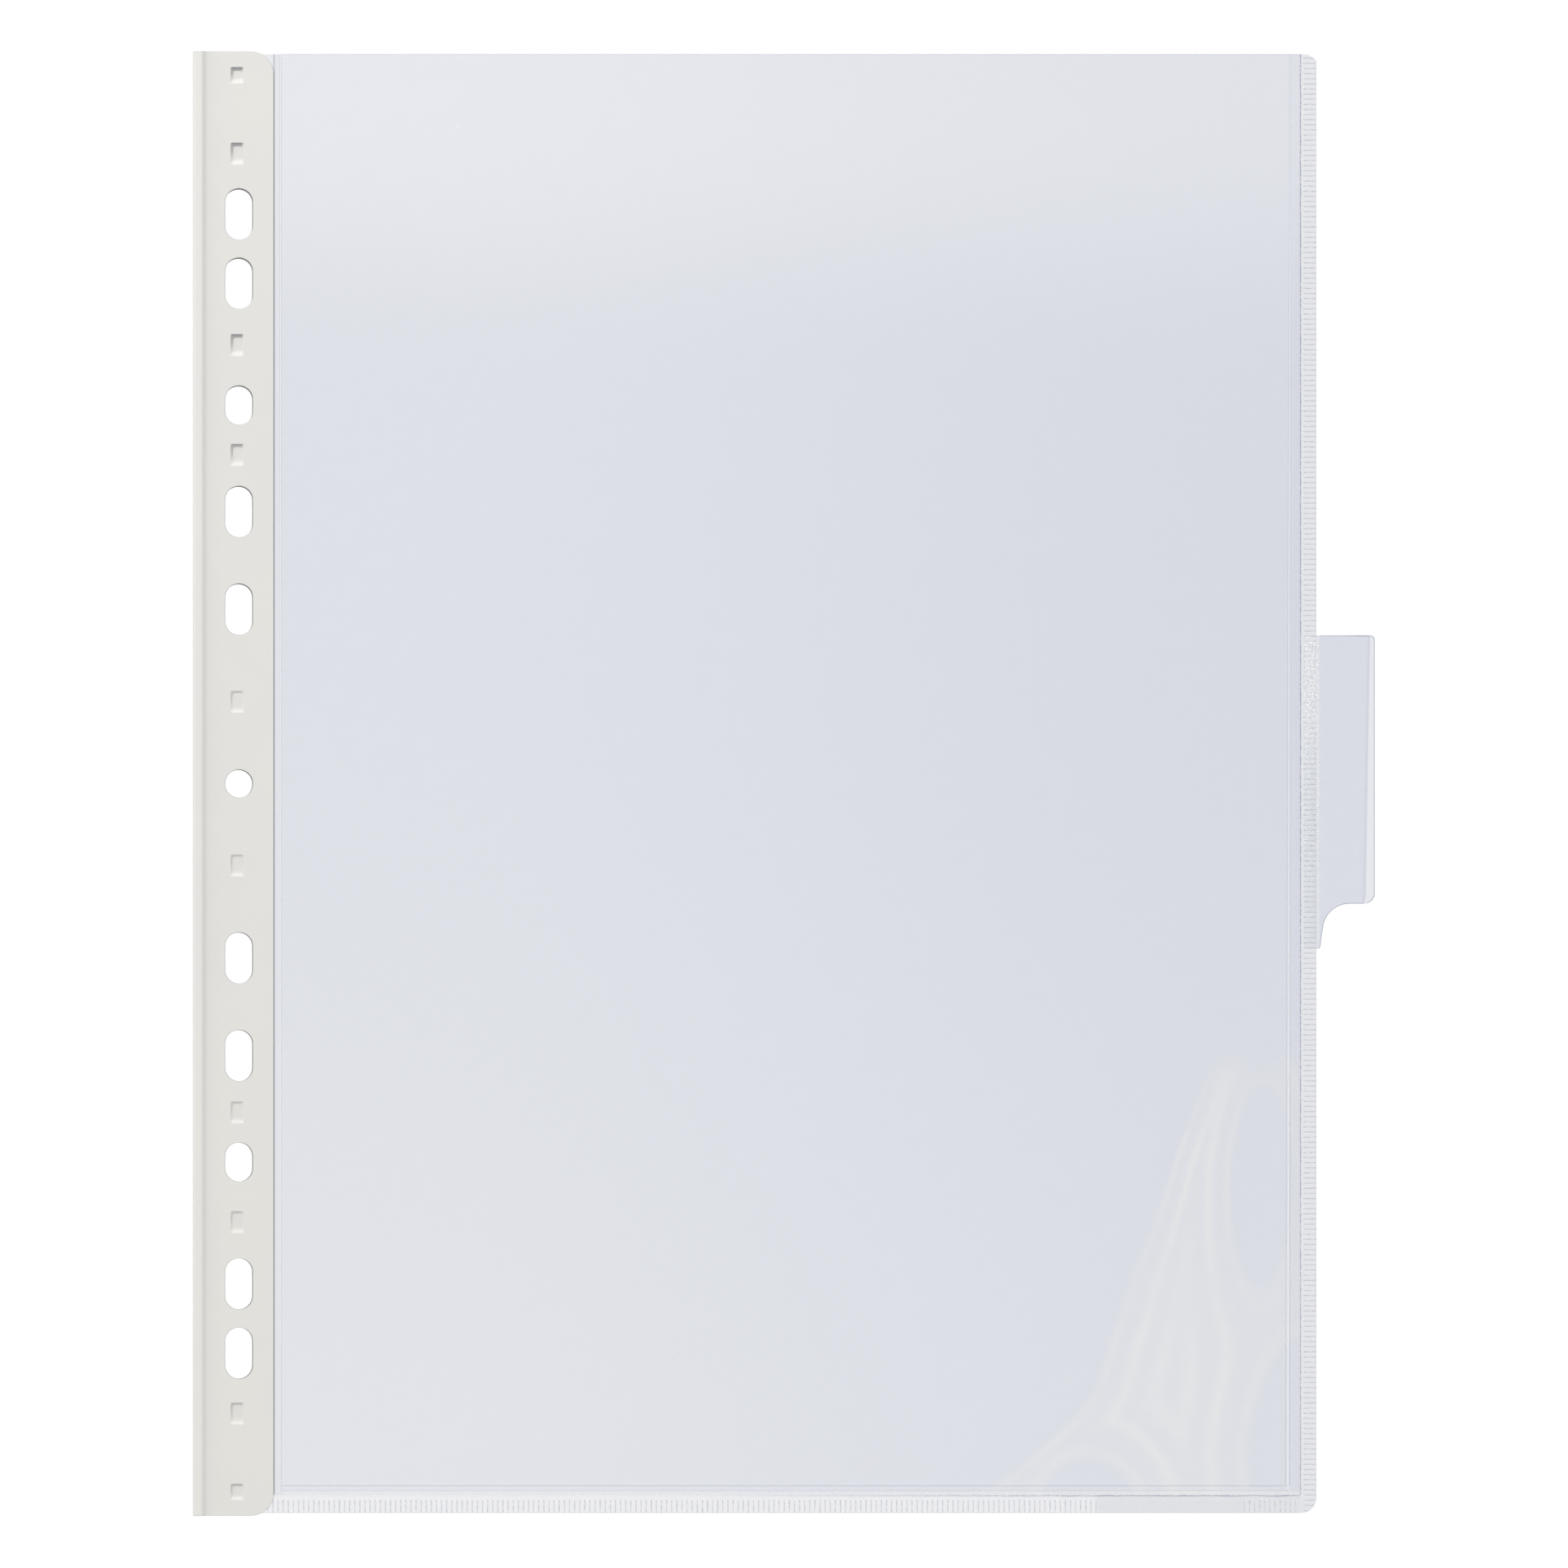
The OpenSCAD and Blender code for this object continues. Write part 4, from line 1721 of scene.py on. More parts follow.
@dataclass
class EdgeWeld(Piece):
    """Welded and ribbed edge; u runs along it and v from its inner line out to the edge."""

    weld_x: float
    weld_y: float
    rib_band_w: float = 2.75
    rib_pitch: float = 1.1
    groove_w: float = 0.36
    groove_core: float = 0.15
    groove_depth: float = 0.07
    bottom_corner_r: float = 3.3
    top_corner_r: float = 3.6
    top_corner_run: float = 2.9
    squeeze_w: float = 0.46
    squeeze_height: float = 0.06
    rear_rise: float = 0.6
    grain_height: float = 0.006
    wander: float = 0.06
    rib_wander: float = 0.05
    # Painted shade in the grooves, along the edge and on the squeezed-out bead, painted glints in the gap
    # and painted highlights on the ribs:
    groove_mark: float = 0.60
    groove_end_mark: float = 0.25
    groove_stir: float = 0.6
    edge_line_w: float = 0.13
    edge_mark: float = 0.8
    rear_mark: float = 0.5
    bead_seep: float = 0.95
    seep_stir: float = 1.1
    rear_seep: float = 0.6
    gap_crumple: float = 0.40
    gap_stir: float = 0.5
    rib_highlight: float = 0.05
    line_pale: float = 0.10
    seed: float = 0.0

    @property
    def width(self) -> float:
        """Width of the weld."""
        raise NotImplementedError

    def span(self) -> Span:
        """Where the weld starts and ends along u."""
        raise NotImplementedError

    def quiet(self, u: float) -> bool:
        """True where no rib is pressed; the plain weld has ribs all along."""
        return False

    def cast(self, u: float) -> float:
        """How dark the plain weld is."""
        return 0.0

    def squeeze(self, u: float) -> float:
        """How strongly the squeezed-out bead shows, from 0 to 1."""
        raise NotImplementedError

    def place(self, u: float, v: float) -> Point:
        """Where u and v lie on the panel."""
        raise NotImplementedError

    def spot(self, vert: BMVert) -> Point:
        """The u and v of a vertex."""
        raise NotImplementedError

    def lines_along(self) -> list[float]:
        """Spaces the mesh lines along u, at and beside each groove.

        Returns:
            Their places.
        """
        start, end = self.span()
        half, core = self.groove_w / 2, self.groove_core / 2
        made = [start]
        count = math.floor((end - start) / self.rib_pitch)
        for i in range(count):
            at = start + (i + 0.5) * self.rib_pitch
            step = self.rib_pitch / 5
            offsets = (-half, -core, core, half, self.rib_pitch / 2)
            if self.quiet(at):
                offsets = (-2 * step, -step, 0.0, step, 2 * step)
            made += [at + offset for offset in offsets]
        made = [u for u in made if u < end - 0.05]
        return [*made, end]

    def lines_across(self) -> list[float]:
        """Spaces the mesh lines along v, close together on the squeezed-out bead.

        Returns:
            Their places.
        """
        ribs = self.width - self.rib_band_w
        squeeze = self.squeeze_w
        inner = [0.0, 0.25 * squeeze, 0.5 * squeeze, 0.75 * squeeze, squeeze, ribs - 0.22, ribs - 0.1]
        outer = spread(ribs, self.width - 0.12, 0.34)
        return [*inner, *outer, self.width - 0.12, self.width]

    def groove(self, u: float, v: float) -> float:
        """Finds the grooves between the ribs.

        Args:
            u: The place along the weld.
            v: The place across it.

        Returns:
            How deep in a groove it lies, from 0 to 1.
        """
        if self.quiet(u):
            return 0.0
        start, _ = self.span()
        off = (u - start) / self.rib_pitch
        near = abs(off - math.floor(off) - 0.5) * self.rib_pitch
        ribs = self.width - self.rib_band_w
        deep = smooth(near, self.groove_w / 2, self.groove_core / 2)
        return deep * smooth(v, ribs - 0.12, ribs + 0.02)

    def sheet(self) -> None:
        """Lays the flat weld and cuts it to the panel's rounded corners."""
        layout, mesher = self.layout, self.mesher
        mesher.grid(self.lines_along(), self.lines_across(), 0.0)
        mesher.move(lambda vert: (*self.place(vert.co.x, vert.co.y), layout.weld_half))
        low = (layout.edge_x - self.bottom_corner_r, layout.foot_y + self.bottom_corner_r)
        high = (layout.edge_x - self.top_corner_run, layout.mouth_y - self.top_corner_r)
        top_start = math.acos(self.top_corner_run / self.top_corner_r)
        mesher.round_corner(low, self.bottom_corner_r, -math.pi / 2, 0)
        mesher.round_corner(high, self.top_corner_r, top_start, math.pi / 2)

    def dress(self) -> None:
        """Presses the ribs and raises the squeezed-out bead; paints shade in the grooves, along the edge and
        on the bead, glints in the gap and highlights on the ribs.
        """
        mesher, half = self.mesher, self.layout.weld_half
        ribs = self.width - self.rib_band_w
        for vert in mesher.bm.verts:
            u, v = self.spot(vert)
            front = vert.co.z > 0
            stir = noise.noise(Vector((u * 0.9 + self.seed, v * 1.3, 0.0)))
            fine = noise.noise(Vector((u * 2.6, v * 2.6 + self.seed, 5.0)))
            groove = self.groove(u, v)
            bead = bump(v, 0.5 * self.squeeze_w, 0.5 * self.squeeze_w) * self.squeeze(u)
            rise = self.squeeze_height * bead
            if front:
                rise -= self.groove_depth * groove * (0.85 + 0.3 * stir)
                rise += self.grain_height * fine * smooth(v, self.squeeze_w, ribs)
            vert.co.z = (half + rise) if front else -(half + self.rear_rise * rise)
            # painted shade in the grooves and along the outer edge
            inner_end = self.groove_end_mark * bump(v, ribs + 0.1, 0.6)
            dark = groove * (self.groove_mark + inner_end + self.groove_stir * stir)
            dark = max(dark, self.edge_mark * bump(v, self.width, self.edge_line_w), self.cast(u))
            vert[mesher.mark] = clamp(dark) * (1.0 if front else self.rear_mark)
            # painted shade on the squeezed-out bead
            seep = bead * (self.bead_seep + self.seep_stir * fine)
            vert[mesher.seep] = clamp(seep) * (1.0 if front else self.rear_seep)
            # painted glints and dark flecks in the gap between the bead and the ribs
            gap = smooth(v, self.squeeze_w, self.squeeze_w + 0.15) * smooth(v, ribs + 0.1, ribs - 0.1)
            vert[mesher.crumple] = (self.gap_crumple + self.gap_stir * stir) * gap if front else 0.0
            # painted highlights on the ribs, and a paler line at their inner end
            lit = 0.0 if self.quiet(u) else self.rib_highlight
            pale = lit * smooth(v, ribs - 0.3, ribs) * (1 - groove)
            pale += self.line_pale * bump(v, ribs - 0.1, 0.12)
            vert[mesher.frost] = pale * (0.8 + 0.8 * fine) if front else 0.0
            self.roughen(vert, u, v)

    def roughen(self, vert: BMVert, u: float, v: float) -> None:
        """Hook for what one of the welds alone shows; the plain weld shows nothing more."""

    def waver(self) -> None:
        """Lets the ribs and the inner line wander a little, as a worn electrode leaves them."""
        ribs = self.width - self.rib_band_w
        for vert in self.mesher.bm.verts:
            u, v = self.spot(vert)
            drift = noise.noise(Vector((u * 0.35, v * 1.1 + self.seed, 9.0)))
            along = self.rib_wander * drift * smooth(v, ribs - 0.2, ribs + 0.3)
            sway = noise.noise(Vector((u * 0.23 + self.seed, 3.0, 2.0)))
            across = self.wander * sway * self.squeeze(u) * smooth(v, 0.0, 0.05)
            across *= smooth(v, self.width - 0.1, self.width - 0.5)
            across *= smooth(v, self.squeeze_w + 0.4, self.squeeze_w)
            vert.co.x, vert.co.y = self.place(u + along, v + across)

    def model(self) -> None:
        """Lays the cut sheet and gives it its thickness and its pressed surface."""
        self.sheet()
        self.mesher.weld()
        self.mesher.face_up()
        self.mesher.thicken_down(2 * self.layout.weld_half)
        self.dress()
        self.waver()


@dataclass
class SideWeld(EdgeWeld):
    """The welded edge on the tab's side; the tab's own weld roughens a stretch of it.

    A span of the tab's print runs from its lower half to its upper half.
    """

    tag: ClassVar[Tag] = Tag("side_weld_ribs", ("side_weld",), Slot.WELD, Body.PANEL)
    bead_share: Span = (0.75, 1.0)
    bead_span: Span = (-120.0, 0.0)
    upper_span: Span = (-4.0, 20.0)
    print_share: Span = (0.4, 1.0)
    coarse_height: float = 0.030
    crisp_height: float = 0.035
    print_rear: float = 0.3
    print_crumple: float = 0.80
    print_stir: Span = (0.35, 0.55)
    print_cover: float = 0.65
    stir_cover: float = 0.3
    print_pale: Span = (0.07, 0.15)
    seed: float = 3.7

    @property
    def width(self) -> float:
        """Width of the weld."""
        return self.layout.edge_x - self.weld_x

    def span(self) -> Span:
        """From the bottom edge to the mouth."""
        return self.layout.foot_y, self.layout.mouth_y

    def squeeze(self, u: float) -> float:
        """The bead is strong all along, thinner towards the bottom, and ends where the welds meet."""
        strong = between(self.bead_share, smooth(u, *self.bead_span))
        return strong * smooth(u, self.weld_y - 0.3, self.weld_y + 0.2)

    def place(self, u: float, v: float) -> Point:
        """Along Y, outwards in X."""
        return self.weld_x + v, u

    def spot(self, vert: BMVert) -> Point:
        """The u and v of a vertex."""
        return vert.co.y, vert.co.x - self.weld_x

    def roughen(self, vert: BMVert, u: float, v: float) -> None:
        """Leaves the crumpled print of the tab's weld, with painted glints.

        Args:
            vert: A vertex of the weld, dressed so far.
            u: Its place along the weld.
            v: Its place across it.
        """
        layout, mesher = self.layout, self.mesher
        front = vert.co.z > 0
        ribs = self.width - self.rib_band_w
        within = smooth(u, layout.tab_foot_y - 0.3, layout.tab_foot_y + 0.6)
        within *= smooth(u, layout.tab_top + 0.3, layout.tab_top - 0.6)
        within *= smooth(v, ribs - 0.15, ribs + 0.25)
        if within <= 0:
            return
        coarse = noise.noise(Vector((u * 1.15, v * 1.6, 21.0)))
        crisp = noise.noise(Vector((u * 3.1, v * 2.6, 4.0)))
        upper = smooth(u, *self.upper_span)
        stir = self.coarse_height * coarse + self.crisp_height * crisp
        share = between(self.print_share, upper) * (1.0 if front else self.print_rear)
        vert.co.z += within * share * stir
        if front:
            # painted glints on the crumpled print; it also lifts the grooves' painted shade and makes the
            # weld paler
            strength = self.print_crumple * upper + between(self.print_stir, upper) * coarse
            rough = within * strength * smooth(v, self.width + 0.4, self.width - 0.6)
            vert[mesher.crumple] = min(1.0, max(vert[mesher.crumple], rough))
            cover = self.print_cover * upper + self.stir_cover * max(0.0, coarse)
            vert[mesher.mark] *= 1 - within * cover
            vert[mesher.frost] += within * between(self.print_pale, upper)


@dataclass
class BottomWeld(EdgeWeld):
    """The welded edge along the bottom, which runs on into the strip."""

    tag: ClassVar[Tag] = Tag("bottom_weld_ribs", ("bottom_weld",), Slot.WELD)
    x0: float = 0.0
    bare_l: float = 31.5
    bare_inset: float = 15.8
    wander: float = 0.25
    seep_runs: tuple[float, ...] = (61.0, 69.5, 80.7, 86.3, 94.7, 107.3)
    run_reach: float = 3.2
    run_share: Span = (0.65, 1.0)
    bead_share: Span = (0.08, 1.0)
    bead_span: Span = (-30.0, 62.0)
    dark_cast: float = 0.27
    seed: float = 11.3

    @property
    def width(self) -> float:
        """Width of the weld."""
        return self.weld_y - self.layout.foot_y

    def span(self) -> Span:
        """From inside the strip to the panel's edge."""
        return self.x0, self.layout.edge_x

    def quiet(self, u: float) -> bool:
        """True along the bare stretch."""
        end = self.layout.edge_x - self.bare_inset
        return end - self.bare_l < u < end

    def cast(self, u: float) -> float:
        """The weld is darker from the bare stretch on, towards the tab's side."""
        start = self.layout.edge_x - self.bare_inset - self.bare_l
        return self.dark_cast * smooth(u, start - 0.6, start + 0.6)

    def squeeze(self, u: float) -> float:
        """The bead grows towards the tab's side, where it thickens in runs."""
        run = max(bump(u, at, self.run_reach) for at in self.seep_runs)
        return between(self.run_share, run) * between(self.bead_share, smooth(u, *self.bead_span))

    def place(self, u: float, v: float) -> Point:
        """Along X, outwards down the page."""
        return u, self.weld_y - v

    def spot(self, vert: BMVert) -> Point:
        """The u and v of a vertex."""
        return vert.co.x, self.weld_y - vert.co.y

    def sheet(self) -> None:
        """Lays the flat weld and cuts it off at the side weld, which owns the corner."""
        super().sheet()
        self.mesher.cut((self.weld_x, self.weld_y), (1.0, 0.0), drop=True)


@dataclass
class IndexTab(Piece):
    """Strip of film folded into a sleeve for a label and welded behind the side edge.

    A span of its root's look runs from the foot of the tab to its top.
    """

    tag: ClassVar[Tag] = Tag(
        "index_tab_sleeve", ("tab_front_leaf", "tab_rear_leaf", "tab_fold", "tab_lap"), Slot.FILM,
        Body.PANEL)
    film_t: float = 0.2
    top_r: float = 1.0
    low_r: float = 2.3
    hollow_r: float = 5.8
    hollow_reach: float = 7.2
    foot_reach: float = 0.9
    tip_r: float = 0.5
    edge_line_w: float = 0.28
    fold_round: float = 0.2
    fold_segments: int = 4
    band_lean: float = 0.0166
    wall_lean: float = 0.4
    band_fade: float = 0.5
    band_mark: float = 0.10
    # Painted shade along the folded side and the cut edges:
    side_mark: float = 0.85
    top_mark: float = 0.12
    low_mark: float = 0.30
    root_fade: float = 0.9
    lap_seep: float = 1.0
    rim_seep: float = 0.3
    root_pale: Span = (0.10, 0.08)
    root_crumple: Span = (0.10, 0.70)

    @property
    def middle_y(self) -> float:
        """The middle of the closed band up the page."""
        return (self.layout.tab_top + self.layout.tab_low) / 2

    @property
    def levels(self) -> dict[str, float]:
        """Heights of the sleeve's four faces, from the front to the back."""
        layout = self.layout
        return {
            "face": layout.tab_face_z,
            "face_inside": layout.tab_face_z - self.film_t,
            "back_inside": layout.tab_back_z + self.film_t,
            "back": layout.tab_back_z,
        }

    def beyond(self, place: Vector) -> float:
        """How far past the inner line of the closed band a place lies."""
        return place.x - self.layout.tab_band_x - self.band_lean * (place.y - self.middle_y)

    def outline(self) -> list[BMEdge]:
        """Draws the tab's outline from the front.

        Returns:
            The outline's edges.
        """
        layout, mesher = self.layout, self.mesher
        bm = mesher.bm

        def line_to(vert: BMVert, x: float, y: float) -> BMVert:
            """Adds a straight edge.

            Args:
                vert: Where it starts.
                x: Where it ends across.
                y: Where it ends up the page.

            Returns:
                The vertex at its end.
            """
            end = bm.verts.new((x, y, 0.0))
            bm.edges.new((vert, end))
            return end

        hollow = Vector((layout.edge_x + self.hollow_reach, layout.tab_low - self.hollow_r))
        tip = Vector((layout.edge_x + self.foot_reach - self.tip_r, layout.tab_foot_y + self.tip_r))
        way = hollow - tip
        lean = math.atan2(way.y, way.x) - math.acos((self.hollow_r + self.tip_r) / way.length)
        out = Vector((math.cos(lean), math.sin(lean)))
        quarter = math.pi / 2
        start = bm.verts.new((layout.tab_root_x, layout.tab_top, 0.0))
        vert = line_to(start, layout.tab_x - self.top_r, layout.tab_top)
        vert = mesher.arc(vert, (layout.tab_x - self.top_r, layout.tab_top - self.top_r), -quarter, 6)
        vert = line_to(vert, layout.tab_x, layout.tab_low + self.low_r)
        vert = mesher.arc(vert, (layout.tab_x - self.low_r, layout.tab_low + self.low_r), -quarter, 10)
        vert = line_to(vert, hollow.x, layout.tab_low)
        vert = mesher.arc(vert, tuple(hollow), quarter + lean, 16)
        vert = line_to(vert, *(tip + self.tip_r * out))
        vert = mesher.arc(vert, tuple(tip), -quarter - lean, 6)
        vert = line_to(vert, layout.tab_root_x, layout.tab_foot_y)
        bm.edges.new((vert, start))
        return list(bm.edges)

    def dress_edges(self) -> None:
        """Paints shade in a line of its own along the tab's cut edges, darkest along its folded side."""
        layout, mesher = self.layout, self.mesher
        bm = mesher.bm
        for vert in bm.verts:
            on_top = vert.co.y > layout.tab_top - 0.01
            beside = smooth(vert.co.x, layout.tab_x - self.low_r, layout.tab_x - 0.3)
            plain = self.top_mark if on_top else self.low_mark
            vert[mesher.mark] = between((plain, self.side_mark), beside)
        ring = bmesh.ops.inset_region(
            bm, faces=list(bm.faces), thickness=self.edge_line_w, use_boundary=True,
            use_even_offset=True)
        rim = set(ring["faces"])
        for face in bm.faces:
            if face not in rim:
                for vert in face.verts:
                    vert[mesher.mark] = 0.0

    def dress_root(self) -> None:
        """Darkens the closed band a little, and clears the fused root, makes it paler and gives it painted
        glints.
        """
        layout, mesher = self.layout, self.mesher
        for vert in mesher.bm.verts:
            if self.beyond(vert.co) > -0.01:
                vert[mesher.mark] = max(vert[mesher.mark], self.band_mark)
            near_root = smooth(vert.co.x, layout.edge_x + self.root_fade, layout.edge_x)
            height = smooth(vert.co.y, layout.tab_foot_y, layout.tab_top)
            fused = self.lap_seep if vert.co.x < layout.edge_x - 0.1 else self.rim_seep
            vert[mesher.seep] = fused * near_root
            vert[mesher.frost] = between(self.root_pale, height) * near_root
            vert[mesher.crumple] = between(self.root_crumple, height) * near_root

    def slant_band(self) -> None:
        """Slants the inner wall of the closed band and leaves it clear."""
        back, face = self.levels["back_inside"], self.levels["face_inside"]
        for vert in self.mesher.bm.verts:
            inside = back - 1e-4 < vert.co.z < face + 1e-4
            if inside and self.within_rim(vert) and abs(self.beyond(vert.co)) < 0.01:
                vert[self.mesher.mark] = 0.0
                if vert.co.z < (back + face) / 2:
                    vert.co.x += self.wall_lean

    def model(self) -> None:
        """Models the sleeve as one closed film and rounds its fold."""
        layout, mesher = self.layout, self.mesher
        bmesh.ops.triangle_fill(mesher.bm, edges=self.outline(), use_beauty=True)
        self.dress_edges()
        across, leaning = (1.0, 0.0), (1.0, -self.band_lean)
        mesher.cut((layout.edge_x, 0.0), across)
        mesher.cut((layout.tab_band_x - self.band_fade, self.middle_y), leaning)
        mesher.cut((layout.tab_band_x, self.middle_y), leaning)
        mesher.cut((layout.edge_x + self.root_fade, 0.0), across)
        self.dress_root()
        self.sleeve()
        mesher.weld()
        self.slant_band()
        folded = []
        for edge in mesher.bm.edges:
            outer = all(vert.co.x > layout.tab_x - 1e-3 for vert in edge.verts)
            if outer and edge.calc_face_angle(0.0) > 1.0:
                folded.append(edge)
        mesher.soften(folded, self.fold_round, self.fold_segments)

    def sleeve(self) -> None:
        """Turns the flat outline into a sleeve: two leaves that are closed at the lap and the band."""
        mesher, levels = self.mesher, self.levels
        bm = mesher.bm
        flat = list(bm.faces)
        leaf = [face for face in flat if self.in_leaf(face)]

        def copy(faces: list[BMFace], z: float) -> list[BMFace]:
            """Copies faces to another height.

            Args:
                faces: The faces to copy.
                z: The height.

            Returns:
                The copies.
            """
            made = bmesh.ops.duplicate(bm, geom=faces)["geom"]
            for part in made:
                if isinstance(part, BMVert):
                    part.co.z = z
            return [part for part in made if isinstance(part, BMFace)]

        def wall(edges: list[BMEdge], *names: str) -> None:
            """Draws a wall from edges through some levels."""
            for first, second in pairwise(names):
                edges = mesher.draw_out(edges, (0, 0, levels[second] - levels[first]))

        def border(faces: list[BMFace]) -> list[BMEdge]:
            """The edges round some faces."""
            edges = dict.fromkeys(edge for face in faces for edge in face.edges)
            return [edge for edge in edges if len(edge.link_faces) == 1]

        back = copy(flat, levels["back"])
        face_inside = copy(leaf, levels["face_inside"])
        copy(leaf, levels["back_inside"])
        face = copy(flat, levels["face"])
        bmesh.ops.delete(bm, geom=flat, context="FACES")
        leaf_rim = [edge for edge in border(face) if self.in_leaf(edge.link_faces[0])]
        closed_rim = [edge for edge in border(face) if not self.in_leaf(edge.link_faces[0])]
        back_rim = [edge for edge in border(back) if self.in_leaf(edge.link_faces[0])]
        outer = {self.spot(edge) for edge in leaf_rim}
        ends = [edge for edge in border(face_inside) if self.spot(edge) not in outer]
        wall(leaf_rim, "face", "face_inside")
        wall(closed_rim, *levels)
        wall(back_rim, "back", "back_inside")
        wall(ends, "face_inside", "back_inside")

    def in_leaf(self, face: BMFace) -> bool:
        """True if a face lies on a leaf, between the lap and the closed band."""
        middle = face.calc_center_median()
        return middle.x > self.layout.edge_x and self.beyond(middle) < 0

    def within_rim(self, vert: BMVert) -> bool:
        """True if a vertex lies clear of the tab's upper and lower edge."""
        layout = self.layout
        return layout.tab_low + 2 * self.edge_line_w < vert.co.y < layout.tab_top - self.edge_line_w / 2

    @staticmethod
    def spot(edge: BMEdge) -> Point:
        """The middle of an edge from the front, rounded for comparing."""
        middle = (edge.verts[0].co + edge.verts[1].co) / 2
        return round(middle.x, 3), round(middle.y, 3)


@dataclass
class Studio:
    """Floor, light and camera."""

    layout: Layout
    image_px: float = 1932.0
    px_per_mm: float = 5.727
    spine_px: float = 237.5
    hole_row_px: float = 965.5
    lens_mm: float = 150.0
    sensor_mm: float = 36.0
    floor_radius: float = 6.0
    floor_sides: int = 64
    floor_drop: float = 0.25
    key_place: Triple = (-0.55, 0.75, 1.0)
    key_size: float = 0.9
    key_power: float = 2.55
    fill_place: Triple = (-1.15, 0.4, 0.55)
    fill_size: float = 1.35
    fill_power: float = 4.1
    warm_panel: Colour = (1.0, 0.92, 0.72)
    wall_light: float = 0.73
    skirt_light: float = 1.0
    skirt_span: Span = (0.45, 0.20)
    roof_span: Span = (0.85, 0.93)
    least_up: float = 0.05
    gap_light: float = 0.50
    west_light: float = 0.42
    west_span: Span = (0.08, -0.06)
    north_light: float = 0.60
    north_span: Span = (0.066, 0.10)
    south_light: float = 0.30
    south_span: Span = (0.03, -0.13)
    east_light: float = 0.50
    east_span: Span = (0.12, 0.30)
    clear_bounces: int = 48

    def camera(self) -> None:
        """Sets the camera straight above the panel, framed as the photograph is."""
        data = bpy.data.cameras.new("camera")
        data.sensor_width = self.sensor_mm
        data.lens = self.lens_mm
        width = self.image_px / self.px_per_mm
        centre_x = self.layout.spine_x + (self.image_px / 2 - self.spine_px) / self.px_per_mm
        centre_y = (self.hole_row_px - self.image_px / 2) / self.px_per_mm
        height = width * self.lens_mm / self.sensor_mm + self.layout.mid_z
        camera = put_in_scene("camera", data)
        camera.location = (centre_x * MM, centre_y * MM, height * MM)
        bpy.context.scene.camera = camera

    def floor(self) -> None:
        """Lays the paper, so far below that the panel can fold down over it."""
        bm = bmesh.new()
        bmesh.ops.create_circle(bm, cap_ends=True, radius=self.floor_radius, segments=self.floor_sides)
        bmesh.ops.translate(bm, verts=list(bm.verts), vec=(0, 0, -self.floor_drop))
        mesh = bpy.data.meshes.new("floor")
        bm.to_mesh(mesh)
        bm.free()
        mesh.materials.append(PaperFloor().material())
        floor = put_in_scene("floor", mesh)

    def softbox(self, name: str, place: Triple, size: float, power: float) -> None:
        """Hangs a round soft lamp that faces the panel.

        Args:
            name: The lamp's name.
            place: Where it hangs.
            size: Its diameter.
            power: Its power in watts.
        """
        data = bpy.data.lights.new(name, "AREA")
        data.shape = "DISK"
        data.size = size
        data.energy = power
        lamp = put_in_scene(name, data)
        lamp.location = place
        lamp.rotation_euler = (-Vector(place)).to_track_quat("-Z", "Y").to_euler()

    def tent(self) -> None:
        """Lights the room as a white tent whose roof has soft panels round a dark gap."""
        world = bpy.data.worlds.new("tent")
        world.use_nodes = True
        bpy.context.scene.world = world
        graph = Graph(world.node_tree)
        x, y, z = graph.split(graph.add("ShaderNodeTexCoord", output="Generated"))
        up = z.math("MAXIMUM", self.least_up)
        east, north = x / up, y / up
        panels = self.west_light * east.step(*self.west_span)
        panels = panels + self.north_light * north.step(*self.north_span)
        panels = panels + self.south_light * north.step(*self.south_span)
        panels = panels + self.east_light * east.step(*self.east_span)
        roof = self.gap_light + panels
        walls = self.wall_light + (self.skirt_light - self.wall_light) * z.step(*self.skirt_span)
        overhead = z.step(*self.roof_span)
        light = walls + overhead * (roof - walls)
        colour = graph.mix_colour(overhead * panels / roof, (1, 1, 1, 1), (*self.warm_panel, 1))
        shader = graph.add("ShaderNodeBackground", sockets={"Color": colour, "Strength": light})
        graph.output(shader, "ShaderNodeOutputWorld")

    def build(self) -> None:
        """Sets up the whole studio."""
        self.camera()
        self.floor()
        self.softbox("key", self.key_place, self.key_size, self.key_power)
        self.softbox("fill", self.fill_place, self.fill_size, self.fill_power)
        self.tent()
        scene = bpy.context.scene
        scene.view_settings.view_transform = "Standard"
        scene.cycles.transparent_max_bounces = self.clear_bounces


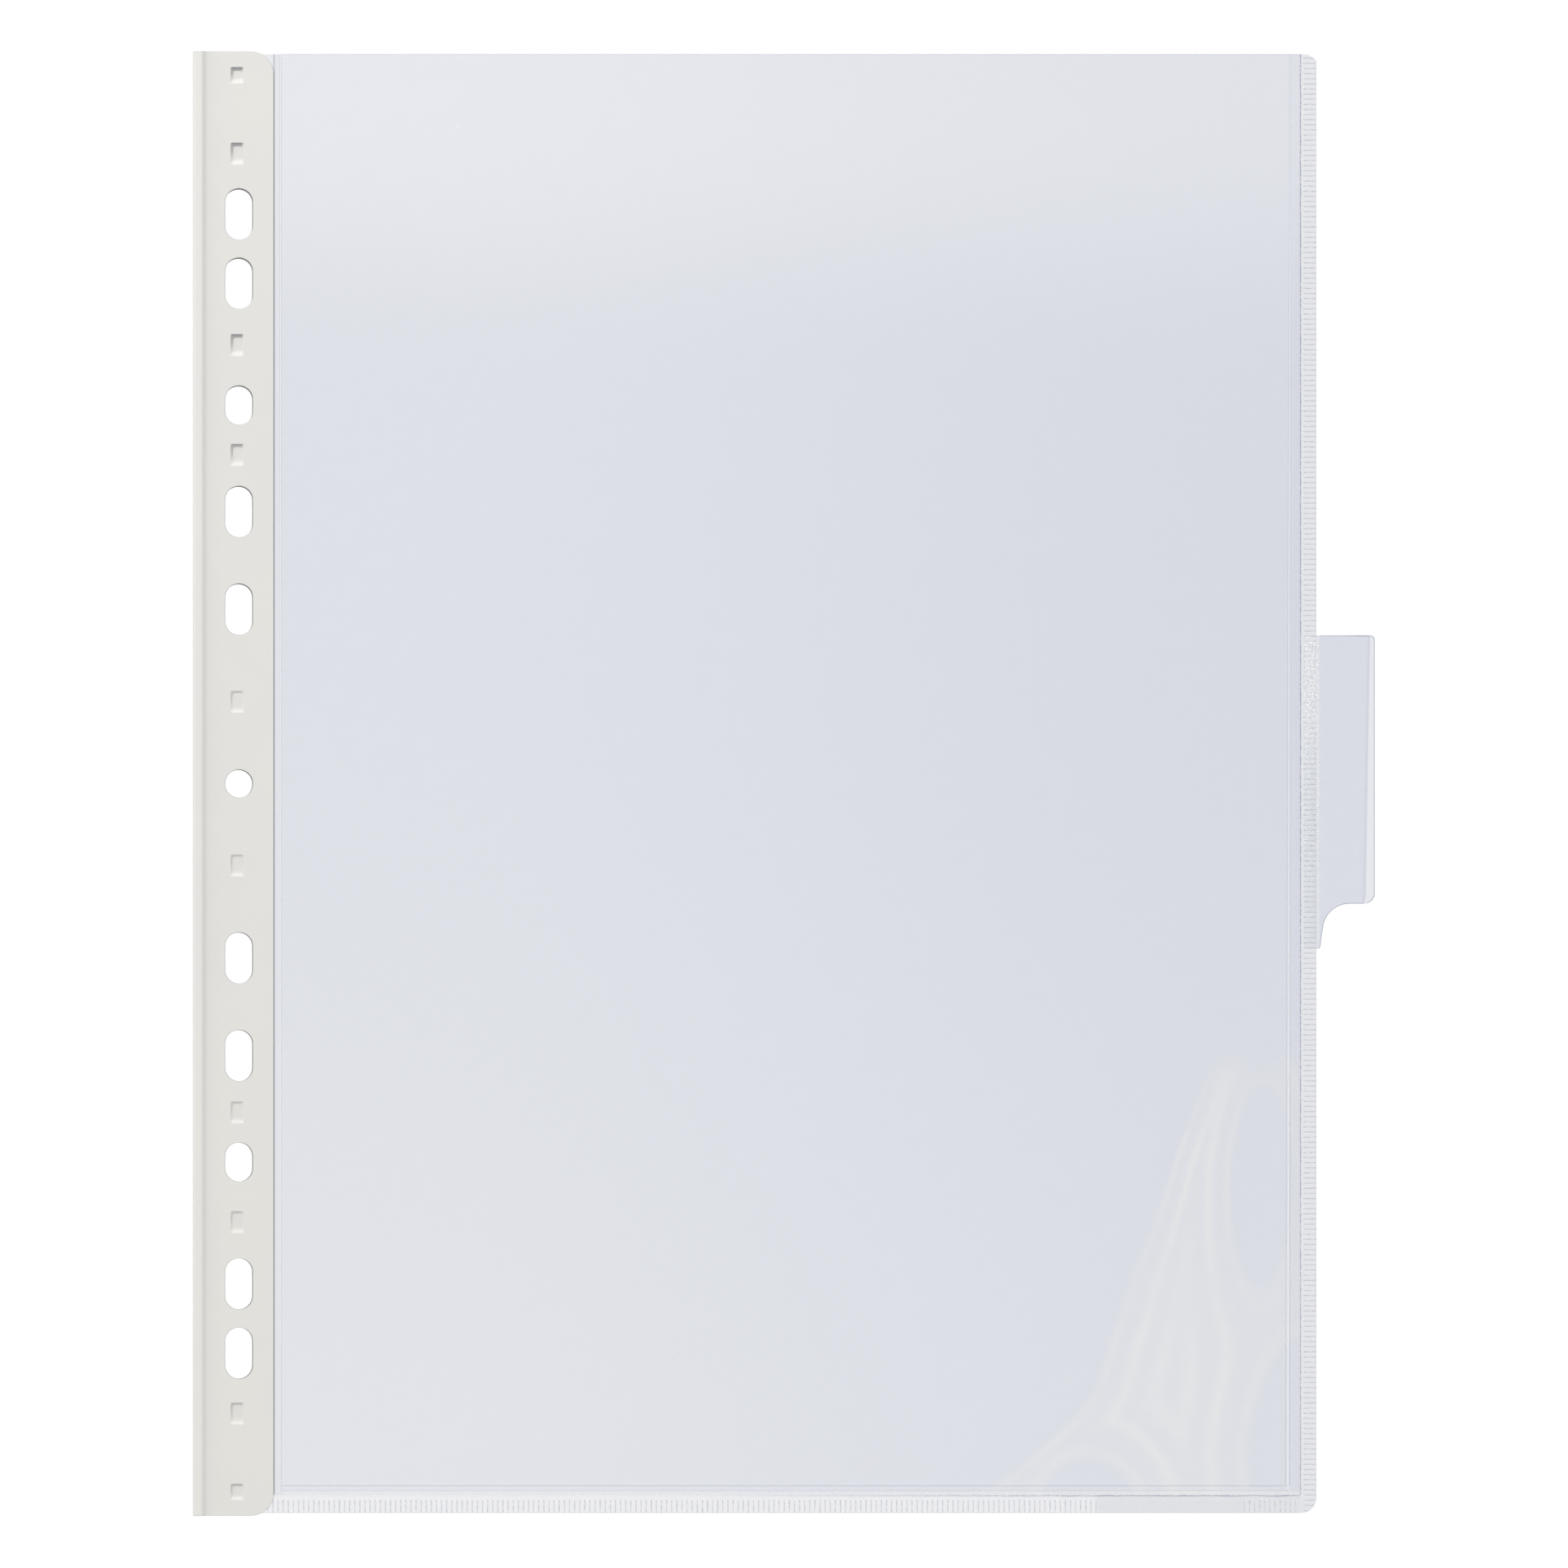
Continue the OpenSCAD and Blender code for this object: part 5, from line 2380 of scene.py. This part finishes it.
@dataclass
class DisplayPanel:
    """The whole panel, piece by piece."""

    layout: Layout
    weld_w: float = 3.65
    foot_weld_w: float = 3.95
    seam_hide: float = 3.0

    def build(self) -> None:
        """Builds every piece and reports it."""
        layout = self.layout
        line = PunchLine(layout)
        enamel = IvoryEnamel().material()
        clinging = ClearFilm("clinging_film", cling=Cling()).material()
        plain = ClearFilm().material()
        tab = ClearFilm(
            "tab_film",
            tint_and_shadow=(0.9145, 0.9215, 0.9445),
            mark_tint=(0.52, 0.54, 0.60),
            seep_tint=(0.970, 0.984, 1.0),
            grain=0.01,
        ).material()
        side_weld = ClearFilm(
            "side_weld_film",
            tint_and_shadow=(0.853, 0.860, 0.8845),
            scuff_and_highlight_colour=(0.93, 0.955, 1.0),
            mark_tint=(0.664, 0.678, 0.712),
            gloss_roughness=0.1,
            grain=0.06,
        ).material()
        foot_weld = ClearFilm(
            "foot_weld_film",
            tint_and_shadow=(0.884, 0.8875, 0.9085),
            mark_tint=(0.664, 0.678, 0.712),
            gloss_roughness=0.1,
            grain=0.06,
        ).material()
        seam = ClearFilm(
            "seam_film", tint_and_shadow=(0.854, 0.863, 0.8885), mark_tint=(0.683, 0.698, 0.732)).material()
        weld_x = layout.edge_x - self.weld_w
        weld_y = layout.foot_y + self.foot_weld_w
        held_x = layout.strip_edge_x - self.seam_hide
        makers = [
            (FilingStrip(layout, line), enamel),
            (FilmMargin(layout, line, 1, "front_film_margin", held_x), plain),
            (FilmMargin(layout, line, -1, "rear_film_margin", held_x), plain),
            (FoldSeam(layout, held_x, weld_y), seam),
            (PocketFilm(layout, 1, "front_film", weld_x, weld_y), clinging),
            (PocketFilm(layout, -1, "rear_film", weld_x, weld_y), plain),
            (SideWeld(layout, weld_x, weld_y), side_weld),
            (BottomWeld(layout, weld_x, weld_y, x0=held_x), foot_weld),
            (IndexTab(layout), tab),
        ]
        for maker, material in makers:
            piece = maker.build(material)
            if material is not enamel:
                # the films cast no shadow; their tints are darkened to paint it in
                piece.visible_shadow = False
                piece.visible_diffuse = False
            LOG.info("%s: %d faces", piece.name, len(piece.data.polygons))


def main() -> None:
    """Builds the panel and its studio."""
    logging.basicConfig(level=logging.INFO, format="%(name)s %(message)s")
    layout = Layout.from_frame()
    Studio(layout).build()
    DisplayPanel(layout).build()


if __name__ == "__main__":
    main()
